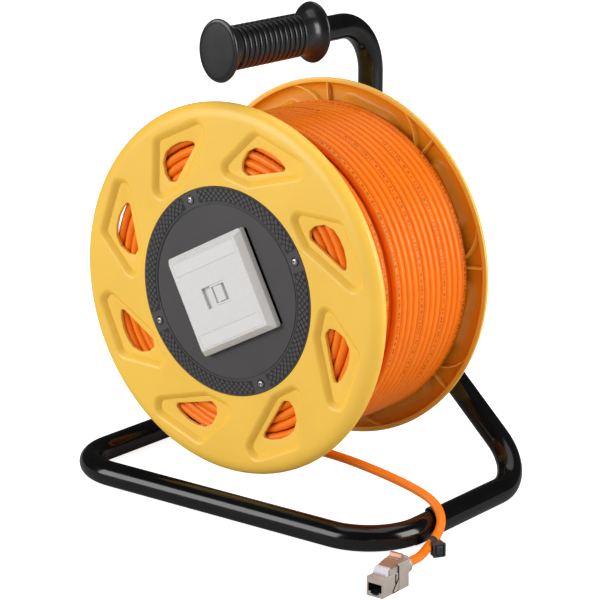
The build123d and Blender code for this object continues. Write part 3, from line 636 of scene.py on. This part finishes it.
def window_rim(level, depth):
    """The window's outline, grown by level, at one depth."""
    return outline_loop(window_corners, WINDOW_ROUNDING, level), depth


# Loops of one pocket as (outline points, depth): rounded window edge, then the slope.
WINDOW_EDGE = 0.5
window_rims = [window_rim(WINDOW_EDGE * (1 - cos(radians(a))),
                          POCKET_DEPTH + WINDOW_EDGE * (1 - sin(radians(a)))) for a in (0, 30, 60, 90)]
slope_steps = [0.0, 0.25, 0.6, 1.2, 2.0, 2.8, 3.6, 4.4, 5.0, 5.4, SLOPE_W]
slope_rims = []
for reach in slope_steps:
    rise = smooth_step(0.5 + 0.5 * reach / SLOPE_W) * 2 - 1
    slope_rims.append((outline_loop(pocket_corners, POCKET_ROUNDING, reach), POCKET_DEPTH * (1 - rise)))


def build_flange(turn, mirrored):
    """One flange moulding. Depth grows from its outside face into the drum."""
    bm = bmesh.new()
    first = turn + WINDOW_START

    def place(radius, angle, depth):
        """Point of this flange, the rear one turned about so that its outside faces +Y."""
        if mirrored:
            return drum_point(radius * MM, 180 - angle - first, REAR_Y - depth * MM)
        return drum_point(radius * MM, angle + first, FRONT_Y + depth * MM)

    def round_place(radius, angle, depth):
        """The same, counted from where the first pocket's share starts."""
        return place(radius, angle + SECTOR[0], depth)

    def pocket_loop(points, here, depth):
        """Vertices at (x, y) points of the pocket that stands at angle here."""
        return [bm.verts.new(place(hypot(x, y), here + 180 / pi * atan2(y, x), depth))
                for x, y in points]

    def skin(inner_r, shift, rims):
        """Panel with its eight pockets; returns the edges of the windows."""
        edges = []
        for window in range(WINDOWS):
            here = 360 / WINDOWS * window
            loops = [pocket_loop(points, here, depth + shift) for points, depth in rims]
            loops.append([bm.verts.new(place(radius, here + angle, shift))
                          for radius, angle in sector_edge(inner_r, ROLL_START)])
            for inner_loop, outer_loop in zip(loops, loops[1:]):
                bridge(bm, inner_loop, outer_loop)
            edges.append(loops[0])
        return edges

    back_rims = [(window_rims[0][0], POCKET_DEPTH - 0.3), window_rim(0.3, POCKET_DEPTH)]
    front_windows = skin(COVER_SEAT_R, 0.0, window_rims + slope_rims)
    back_windows = skin(BARREL_R, PANEL_T, back_rims + slope_rims)
    for front_loop, back_loop in zip(front_windows, back_windows):
        bridge(bm, front_loop, back_loop)

    outer = FLANGE_R / MM
    roll_r = outer - ROLL_START
    roll_steps = [radians(a) for a in range(0, 91, 10)]
    inner_roll_r = outer - RIM_T - ROLL_START
    rim = [(ROLL_START + roll_r * sin(a), (RIM_DEPTH - 0.8) * (1 - cos(a))) for a in roll_steps]
    rim += [(outer, RIM_DEPTH - 0.5), (outer - 0.15, RIM_DEPTH - 0.15), (outer - 0.5, RIM_DEPTH)]
    rim += [(outer - RIM_T + 0.5, RIM_DEPTH), (outer - RIM_T + 0.15, RIM_DEPTH - 0.15)]
    rim += [(ROLL_START + inner_roll_r * sin(a), PANEL_T + (RIM_DEPTH - 0.7 - PANEL_T) * (1 - cos(a)))
            for a in reversed(roll_steps)]
    lathe(bm, rim, round_place, SKIN_SEGMENTS)

    seat_back = COVER_SEAT_DEPTH + PANEL_T
    seat = [
        (COVER_SEAT_R, 0), (COVER_SEAT_R, COVER_SEAT_DEPTH), (COVER_BORE_R, COVER_SEAT_DEPTH),
        (COVER_BORE_R, seat_back), (BARREL_R, seat_back), (BARREL_R, PANEL_T),
    ]
    lathe(bm, seat, round_place, SKIN_SEGMENTS)
    return bm


RIB_LIFT_R = 137.0                  # from here out a rib's foot rises with the rim's roll
RIB_LIFT = 0.6                      # rise for each millimetre outwards
FIN_PATH = [(108, 0.0), (114, -0.8), (120, -1.9), (126, -3.6), (131, -5.6), (135, -7.8),
            (138, -10.0), (140.5, -12.4), (142.6, -15.2)]
RIB_PATH = [(r, 0.8) for r in (87, 100, 114, 128, 142.6)]
rib_section = [(-1.3, -0.5), (-0.75, 3.5), (-0.4, 4.0), (0.4, 4.0), (0.75, 3.5), (1.3, -0.5)]


def add_ribs(bm, turn, mirrored):
    """On the inner face, between two pockets, a straight rib and a curved fin."""
    for pair in range(WINDOWS):
        middle = turn + WINDOW_START + 360 / WINDOWS * (pair + 0.5)
        for path in (RIB_PATH, FIN_PATH):
            line = []
            for radius, angle in path:
                a = radians(middle + angle)
                line.append(Vector((radius * cos(a), radius * sin(a))))
            loops = []
            for i, here in enumerate(line):
                along = direction(line, i)
                loop = []
                lift = RIB_LIFT * max(0.0, here.length - RIB_LIFT_R)
                for across, height in rib_section:
                    height = max(height, lift - 0.5)
                    x = here.x - across * along.y
                    z = here.y + across * along.x
                    depth = PANEL_T + height
                    if mirrored:
                        point = Vector((-x * MM, REAR_Y - depth * MM, AXIS_H + z * MM))
                    else:
                        point = Vector((x * MM, FRONT_Y + depth * MM, AXIS_H + z * MM))
                    loop.append(bm.verts.new(point))
                loops.append(loop)
            closed_form(bm, loops)


def make_flange(node, turn, mirrored):
    """Flange moulding and ribs; the walls that face the winding get a deeper orange: painted shade and
    painted orange bounce light from the winding.
    """
    bm = build_flange(turn, mirrored)
    flange = add_piece(node + "_moulding", bm, DRUM, yellow_plastic, [node],
                       crease=35)
    flange.data.materials.append(painted_bounce_plastic)
    # Panel faces that look towards the winding take the painted bounce light and shade.
    for face in flange.data.polygons:
        outward = Vector((face.center.x, 0, face.center.z - AXIS_H))
        on_panel = outward.length < ROLL_START * MM
        towards_middle = face.normal.y * (MID_Y - face.center.y) > 0
        if towards_middle and (on_panel or face.normal.dot(outward) < 0):
            face.material_index = 1
    ribs = bmesh.new()
    add_ribs(ribs, turn, mirrored)
    add_piece(node + "_ribs", ribs, DRUM, yellow_plastic, crease=35)


make_flange("front_flange", PATTERN_TURN, False)
make_flange("rear_flange", 180 - PATTERN_TURN, True)

# ================================================================ cover knurl
KNURL_ROWS = (71.9, 74.15, 76.4, 78.65)
KNURL_OUTER_R = 79
KNURL_COUNT = 96
KNURL_HEIGHT = 0.55
KNURL_FILL = 0.47                   # half a lozenge, as a share of the step round the cover
KNURL_TOP = 0.84                    # a lozenge's top is this much of its foot
KNURL_HALF = 2.1                    # half a lozenge, along the radius
SCREW_CLEAR = 6.2                   # degrees left plain each side of a cover screw
SCREW_CLEAR_GAIN = 0.35             # degrees more with each millimetre inwards
SCREW_CIRCLE_R = 75.0
BORDER_R = 69.2
BORDER_FLARE = 10.0                 # how far the raised line turns outwards at its ends
BORDER_SPREAD = 1.2                 # degrees that it gains there
BORDER_ENDS = 14                    # each end is one part in this many of the line
BORDER_STEPS = 60
GROOVE_SHADE_STEPS = 48
groove_shade_section = [(70.3, 0.05), (70.3, -0.08), (80.4, -0.08), (80.4, 0.05)]     # radius, depth


def build_knurl():
    """Raised lozenges round the edge of the cover, left out beside the four screws."""
    bm = bmesh.new()
    step = 360 / KNURL_COUNT
    half_a = KNURL_FILL * step
    for row, radius in enumerate(KNURL_ROWS):
        for i in range(KNURL_COUNT):
            angle = (i + 0.5 * (row % 2)) * step
            to_screw = (angle + 45) % 90 - 45
            if abs(to_screw) < SCREW_CLEAR + SCREW_CLEAR_GAIN * (KNURL_OUTER_R - radius):
                continue
            here = angle + PATTERN_TURN
            corners = [(KNURL_HALF, 0), (0, half_a), (-KNURL_HALF, 0), (0, -half_a)]
            foot = [bm.verts.new(drum_point((radius + r) * MM, here + a, FRONT_Y + 0.1 * MM))
                    for r, a in corners]
            top = [bm.verts.new(drum_point((radius + KNURL_TOP * r) * MM, here + KNURL_TOP * a,
                                           FRONT_Y - KNURL_HEIGHT * MM)) for r, a in corners]
            bridge(bm, foot, top)
            bm.faces.new(top)
            bm.faces.new(reversed(foot))
    return bm


def build_border():
    """The raised line inside the knurl; it turns outwards beside each screw."""
    bm = bmesh.new()
    section = [(-0.45, -0.1), (-0.25, 0.35), (0.25, 0.35), (0.45, -0.1)]
    for quarter in range(4):
        low = PATTERN_TURN + 90 * quarter + SCREW_CLEAR + 1.0
        sweep = 90 - 2 * SCREW_CLEAR - 2.0
        line = []
        for i in range(BORDER_STEPS + 1):
            share = i / BORDER_STEPS
            ends = max(0.0, 1 - min(share, 1 - share) * BORDER_ENDS)
            outwards = 1 if share > 0.5 else -1
            line.append((BORDER_R + BORDER_FLARE * ends * ends,
                         low + sweep * share + BORDER_SPREAD * ends * outwards))
        points = [Vector((r * cos(radians(a)), r * sin(radians(a)))) for r, a in line]
        loops = []
        for i, here in enumerate(points):
            along = direction(points, i)
            loops.append([bm.verts.new(Vector(((here.x - across * along.y) * MM,
                                               FRONT_Y - height * MM,
                                               AXIS_H + (here.y + across * along.x) * MM)))
                          for across, height in section])
        closed_form(bm, loops)
    return bm


def build_groove_shade():
    """Painted shade: a dark ring under the knurl that stands for the shade down in the knurl's grooves.
    """
    bm = bmesh.new()
    for quarter in range(4):
        low = PATTERN_TURN + 90 * quarter + SCREW_CLEAR
        sweep = 90 - 2 * SCREW_CLEAR
        loops = []
        for i in range(GROOVE_SHADE_STEPS + 1):
            a = low + sweep * i / GROOVE_SHADE_STEPS
            loops.append([bm.verts.new(drum_point(r * MM, a, FRONT_Y + y * MM))
                          for r, y in groove_shade_section])
        closed_form(bm, loops)
    return bm


def build_screw_heads():
    """Domed heads of the four cover screws, each with a small round socket."""
    bm = bmesh.new()
    head_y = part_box("front_cover_screws")[0].y / MM
    dome = [(2.72, 0.5), (2.72, -0.05), (2.5, -0.4), (2.0, -0.75), (1.35, -0.95), (1.15, -0.9),
            (1.1, -0.2), (0.5, -0.1)]
    for quarter in range(4):
        middle = drum_point(SCREW_CIRCLE_R * MM, PATTERN_TURN + 90 * quarter, head_y * MM)

        def place(radius, angle, depth):
            """Point about the middle of this head."""
            a = radians(angle)
            return middle + Vector((radius * cos(a), depth, radius * sin(a))) * MM

        loops = lathe(bm, dome, place, 24)
        bm.faces.new(loops[0])
        bm.faces.new(reversed(loops[-1]))
    return bm


# A dark ring of painted shade under the knurl, seen through its grooves.
add_piece("cover_groove_shade", build_groove_shade(), DRUM, painted_groove_shade, crease=30)
add_piece("cover_screw_heads", build_screw_heads(), DRUM, screw_steel, crease=35)
add_piece("cover_knurl", build_knurl(), DRUM, cover_plastic, crease=20)
add_piece("cover_border", build_border(), DRUM, cover_plastic)

# ================================================================ carrying grip
grip_low, grip_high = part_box("grip")
GRIP_FRONT_Y = grip_low.y / MM - 1.0
GRIP_BACK_Y = grip_high.y / MM - 7.5        # the shown grip ends a little before the frame's
GRIP_Z = (grip_low.z + grip_high.z) / 2
GRIP_FLAT = 0.77                    # the grip is this much as wide as it is high
GRIP_BORE_R = 10.05
GRIP_RING_PITCH = 6.1
GRIP_RING_COUNT = 13
GRIP_RING_FIRST_Y = GRIP_FRONT_Y + 19.5
GRIP_CAP_R = 21.6
GRIP_CAP_SEAT = 1.5
# Edge, flare and ring as (radius, depth); a ring's depth is from its middle.
grip_edge = [(22.4, 4.0), (23.6, 3.2), (24.0, 2.0), (23.5, 0.6), (22.2, 0.0)]
grip_flare = [(15.6, 13.5), (16.2, 10.8), (17.4, 8.2), (19.4, 5.8)]
grip_ring = [(15.4, -2.35), (16.3, -2.2), (16.85, -1.75), (17.0, -0.9)]


def grip_place(radius, angle, y):
    """Oval outside, round where the grip holds the tube."""
    a = radians(angle)
    width = radius if radius <= GRIP_BORE_R else radius * GRIP_FLAT
    return Vector((width * cos(a) * MM, y * MM, GRIP_Z + radius * sin(a) * MM))


def build_grip():
    """Ribbed sleeve with a flared edge at each end."""
    bm = bmesh.new()
    seat_y = GRIP_FRONT_Y + GRIP_CAP_SEAT
    profile = [(GRIP_BORE_R, seat_y), (GRIP_CAP_R, seat_y), (GRIP_CAP_R, GRIP_FRONT_Y)]
    profile += [(r, GRIP_FRONT_Y + depth) for r, depth in reversed(grip_edge)]
    profile += [(r, GRIP_FRONT_Y + depth) for r, depth in reversed(grip_flare)]
    for i in range(GRIP_RING_COUNT):
        y = GRIP_RING_FIRST_Y + i * GRIP_RING_PITCH
        profile += [(r, y + off) for r, off in grip_ring]
        profile += [(r, y - off) for r, off in reversed(grip_ring)]
    profile += [(r, GRIP_BACK_Y - depth) for r, depth in grip_flare + grip_edge]
    profile.append((GRIP_BORE_R, GRIP_BACK_Y))
    loops = lathe(bm, profile, grip_place, 72)
    bridge(bm, loops[-1], loops[0])
    return bm


def build_grip_cap():
    """Slightly domed plug that closes the grip's front."""
    bm = bmesh.new()
    rim = GRIP_CAP_R - 0.15
    profile = [(0, -1.2), (rim * 0.3, -1.15), (rim * 0.6, -0.95), (rim * 0.85, -0.6), (rim - 0.6, -0.2),
               (rim - 0.1, 0.15), (rim, 0.5), (rim, GRIP_CAP_SEAT - 0.05), (0, GRIP_CAP_SEAT - 0.05)]
    lathe(bm, [(r, GRIP_FRONT_Y + depth) for r, depth in profile], grip_place, 72)
    return bm


add_piece("grip_sleeve", build_grip(), STAND, grip_plastic, ["grip"])
add_piece("grip_plug", build_grip_cap(), STAND, cap_plastic, ["grip_end_cap"], crease=35)

# ================================================================ lead tie
TIE_WIDTH = 5.4
TIE_THICK = 1.1
strap_route = [
    (160.5, -56.0, 0.95), (167.5, -58.5, 4.6), (172.5, -60.3, 9.3), (176.8, -61.5, 12.0),
    (181.2, -63.0, 10.6), (184.0, -64.8, 7.0), (182.0, -62.5, 2.6), (176.0, -55.0, 1.6),
    (171.0, -46.0, 5.0), (169.4, -41.0, 11.0), (165.9, -36.5, 18.9), (157.0, -31.5, 22.4),
    (148.2, -26.0, 18.8), (144.7, -21.0, 10.5), (146.6, -17.0, 4.4), (150.2, -14.0, 1.9),
]


def build_strap():
    """Strap that lies flat along its route."""
    path = cord_path("strap_guide", [Vector(p) for p in strap_route], 8)
    half_w, half_t = TIE_WIDTH / 2, TIE_THICK / 2
    section = [(-half_w, -half_t), (half_w, -half_t), (half_w, half_t * 0.3), (half_w - 0.5, half_t),
               (-half_w + 0.5, half_t), (-half_w, half_t * 0.3)]
    bm = bmesh.new()
    loops = []
    for i, here in enumerate(path):
        tangent = direction(path, i)
        outward = Vector((-tangent.z, 0, tangent.x)).normalized()
        across = tangent.cross(outward)
        loops.append([bm.verts.new((here + a * across + t * outward) * MM) for a, t in section])
    closed_form(bm, loops)
    return bm


def round_rectangle(width, height, rounding):
    """Points of a rectangle with rounded corners, about its middle."""
    points = []
    steps = 4
    for corner, (sx, sy) in enumerate(((1, 1), (-1, 1), (-1, -1), (1, -1))):
        for i in range(steps + 1):
            a = pi / 2 * (corner + i / steps)
            points.append((sx * (width / 2 - rounding) + rounding * cos(a),
                           sy * (height / 2 - rounding) + rounding * sin(a)))
    return points


def build_stack(levels, place):
    """Closed form through rounded rectangles: (width, height, rounding, depth) each."""
    bm = bmesh.new()
    loops = [[bm.verts.new(place(x, y, depth)) for x, y in round_rectangle(w, h, r)]
             for w, h, r, depth in levels]
    closed_form(bm, loops)
    return bm


TIE_TURN = radians(-32)             # the head looks outwards and forwards
HEAD_PLACE = Vector((185.6, -66.4, 5.9))


def head_place(x, y, depth):
    """x across the head, y up, depth outwards from the middle of the head."""
    out = Vector((cos(TIE_TURN), sin(TIE_TURN), 0))
    side = Vector((-out.y, out.x, 0))
    return (HEAD_PLACE + out * depth + side * x + Vector((0, 0, y))) * MM


# Rounded rectangles from the back of the head to its face, as build_stack takes them.
head_levels = [(7.6, 9.4, 0.8, -3.9), (9.2, 11.0, 1.2, -3.2), (9.2, 11.0, 1.2, 2.4),
               (10.2, 11.2, 1.2, 2.6), (10.2, 11.2, 1.2, 3.4), (9.6, 10.6, 1.0, 3.9),
               (7.6, 8.4, 0.6, 3.9), (7.2, 8.0, 0.6, 2.7), (5.6, 6.6, 0.5, 2.7),
               (5.2, 6.2, 0.5, 3.5), (4.6, 5.6, 0.4, 3.7), (3.0, 3.6, 0.4, 3.7), (2.8, 3.4, 0.4, 3.2)]
add_piece("tie_strap", build_strap(), STAND, tie_plastic, ["cable_tie"], crease=50)
add_piece("tie_buckle", build_stack(head_levels, head_place), STAND, tie_plastic,
          ["tie_head"], crease=35)

# ================================================================ jack details
jack_low, jack_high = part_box("jack_body")
JACK_X = (jack_low.x + jack_high.x) / 2 / MM
JACK_FRONT_Y = jack_low.y / MM
JACK_HALF_W = (jack_high.x - jack_low.x) / 2 / MM
JACK_REAR_Y = jack_high.y / MM + 12.75
LEAD_END_Z = lead_route[-1][2]
SEAM_HALF = 0.2                     # half the width of a seam
SEAM_REACH = (-0.1, 0.56)           # from inside the jack's side to outside it
mouth_parts = [(11.8, 6.4, 6.9), (7.4, 2.0, 3.0), (4.2, 1.4, 2.0)]   # width, height, middle


def jack_place(middle_z):
    """x across the jack, y up from middle_z, depth forwards from the jack's face."""
    return lambda x, y, depth: Vector((JACK_X + x, JACK_FRONT_Y - depth, middle_z + y)) * MM


# A black liner in each step of the jack's mouth.
for i, (width, height, middle_z) in enumerate(mouth_parts):
    liner = [(width - 0.7, height - 0.7, 0.1, -11.0), (width - 0.5, height - 0.5, 0.1, -0.4),
             (width - 0.04, height - 0.04, 0.1, -0.4), (width - 0.04, height - 0.04, 0.1, -12.0)]
    add_piece("jack_liner_%d" % i, build_stack(liner, jack_place(middle_z)), STAND,
              port_plastic, crease=30)


def build_collar():
    """Turned collar that grips the lead behind the jack."""
    bm = bmesh.new()
    profile = [(6.2, -0.3), (6.2, 2.2), (5.7, 2.6), (5.7, 3.2), (6.5, 3.6), (6.6, 4.0), (6.6, 5.6),
               (6.2, 6.3), (5.2, 6.7), (4.4, 6.5), (4.1, 5.0), (4.1, 3.7), (4.1, -0.3)]

    def place(radius, angle, depth):
        """Point about the end of the lead, depth back from the jack's rear face."""
        a = radians(angle)
        return Vector((JACK_X + radius * cos(a), JACK_REAR_Y + depth,
                       LEAD_END_Z + radius * sin(a))) * MM

    loops = lathe(bm, profile, place, 40)
    bridge(bm, loops[-1], loops[0])
    return bm


def build_latch_ridges():
    """Finger ridges across the sloping latch and on its raised end."""
    bm = bmesh.new()
    for y, z in ((-146.2, 19.6), (-143.4, 21.2), (-140.6, 22.2), (-137.8, 22.9), (-134.2, 25.0)):
        section = [(-0.8, -0.6), (-0.5, 0.45), (-0.15, 0.7), (0.15, 0.7), (0.5, 0.45), (0.8, -0.6)]
        loops = [[bm.verts.new(Vector((JACK_X + x, y + across, z + height)) * MM)
                  for across, height in section] for x in (-4.9, 4.9)]
        closed_form(bm, loops)
    return bm


def build_seams():
    """Dark seams on the jack's two sides."""
    bm = bmesh.new()
    lines = [[(-141.1, 0.9), (-141.1, 19.6)], [(-144.6, 6.6), (-144.6, 14.4)],
             [(-147.6, 1.0), (-147.6, 2.7), (-141.3, 10.2)], [(-147.6, 0.9), (-141.3, 1.7)]]
    for side in (-1, 1):
        for line in lines:
            for (y0, z0), (y1, z1) in zip(line, line[1:]):
                long = hypot(y1 - y0, z1 - z0)
                ny, nz = -(z1 - z0) / long * SEAM_HALF, (y1 - y0) / long * SEAM_HALF
                corners = [(y0 - ny, z0 - nz), (y1 - ny, z1 - nz), (y1 + ny, z1 + nz),
                           (y0 + ny, z0 + nz)]
                loops = [[bm.verts.new(Vector((JACK_X + side * (JACK_HALF_W + x), y, z)) * MM)
                          for y, z in corners] for x in SEAM_REACH]
                closed_form(bm, loops)
    return bm


add_piece("jack_collar", build_collar(), STAND, jack_zinc)
add_piece("jack_ridges", build_latch_ridges(), STAND, jack_copper, crease=35)
add_piece("jack_seams", build_seams(), STAND, seam_shade, crease=30)

# ================================================================ edges
for name in nodes:
    nodes[name].data.set_sharp_from_angle(angle=radians(28))
edge_widths = {                     # millimetres
    "outlet_frame": 0.7, "outlet_insert": 0.25, "label_strips": 0.12, "dust_shutter": 0.3,
    "mounting_strap": 0.3, "jack_body": 0.35, "jack_cover": 0.45, "jack_latch": 0.25,
    "jack_label": 0.35, "axle_nut": 0.4, "front_cover": 0.35, "rear_cover": 0.35,
}
for name, width in edge_widths.items():
    soften(nodes[name], width * MM)


# ================================================================ floor and light
FLOOR_BOUNCE = 0.55                 # the floor's shade for light that it throws on the object
FLOOR_GLOSS = 0.38                  # the same, in what the object's gloss mirrors
FLOOR_SEEN = 0.8                    # the same, where the camera looks straight at it
FLOOR_GLOW = 0.86                   # light of its own there
FLOOR_HALF = 20.0                   # half the floor's width, in metres
WORLD_LIGHT = 0.32                  # strength of the light from all round
WORLD_GLOSS = 0.03                  # the same, in what the object's gloss mirrors
LIGHT_TARGET = Vector((0, -0.02, 0.18))


def add_light(name, place, size, watts):
    """Rectangular soft light that looks at the middle of the drum."""
    data = bpy.data.lights.new(name, "AREA")
    data.shape = "RECTANGLE"
    data.size, data.size_y = size
    data.energy = watts
    light = new_object(name, data)
    light.location = place
    light.rotation_euler = (LIGHT_TARGET - Vector(place)).to_track_quat("-Z", "Y").to_euler()


def lit_floor():
    """White sweep, bright enough to wash out the shadows on it, and as dim as a dark
    studio where the object's gloss mirrors it."""
    material = new_material("floor_white", (FLOOR_SEEN, FLOOR_SEEN, FLOOR_SEEN), 0.9)
    links = material.node_tree.links
    sockets = sockets_of(material)
    sockets["Specular IOR Level"].default_value = 0.0
    sockets["Emission Color"].default_value = (1, 1, 1, 1)
    rays = add_node(material, "ShaderNodeLightPath").outputs
    seen = calculate(material, "MULTIPLY_ADD", rays["Is Camera Ray"], FLOOR_SEEN - FLOOR_BOUNCE,
                     FLOOR_BOUNCE)
    tone = calculate(material, "MULTIPLY_ADD", rays["Is Glossy Ray"], FLOOR_GLOSS - FLOOR_BOUNCE, seen)
    glow = calculate(material, "MULTIPLY", rays["Is Camera Ray"], FLOOR_GLOW)
    links.new(tone, sockets["Base Color"])
    links.new(glow, sockets["Emission Strength"])
    return material


floor_mesh = bpy.data.meshes.new("floor")
floor_corners = [(-FLOOR_HALF, -FLOOR_HALF, 0), (FLOOR_HALF, -FLOOR_HALF, 0),
                 (FLOOR_HALF, FLOOR_HALF, 0), (-FLOOR_HALF, FLOOR_HALF, 0)]
floor_mesh.from_pydata(floor_corners, [], [(0, 1, 2, 3)])
floor = new_object("floor", floor_mesh)
floor_mesh.materials.append(lit_floor())

add_light("key", (-1.5, -2.7, 1.05), (2.4, 1.8), 68)
add_light("right", (2.4, 0.55, 0.95), (1.4, 1.6), 50)
add_light("top", (-0.1, 0.2, 2.8), (2.6, 2.6), 24)

world = bpy.data.worlds.new("studio")
world.use_nodes = True
world_nodes = world.node_tree.nodes
background = world_nodes["Background"]
background.inputs["Color"].default_value = (1, 1, 1, 1)
world_rays = world_nodes.new("ShaderNodeLightPath")
dim = world_nodes.new("ShaderNodeMapRange")
dim.inputs["To Min"].default_value = WORLD_LIGHT
dim.inputs["To Max"].default_value = WORLD_GLOSS
world.node_tree.links.new(world_rays.outputs["Is Glossy Ray"], dim.inputs["Value"])
world.node_tree.links.new(dim.outputs["Result"], background.inputs["Strength"])
bpy.context.scene.world = world
bpy.context.scene.view_settings.view_transform = "Standard"
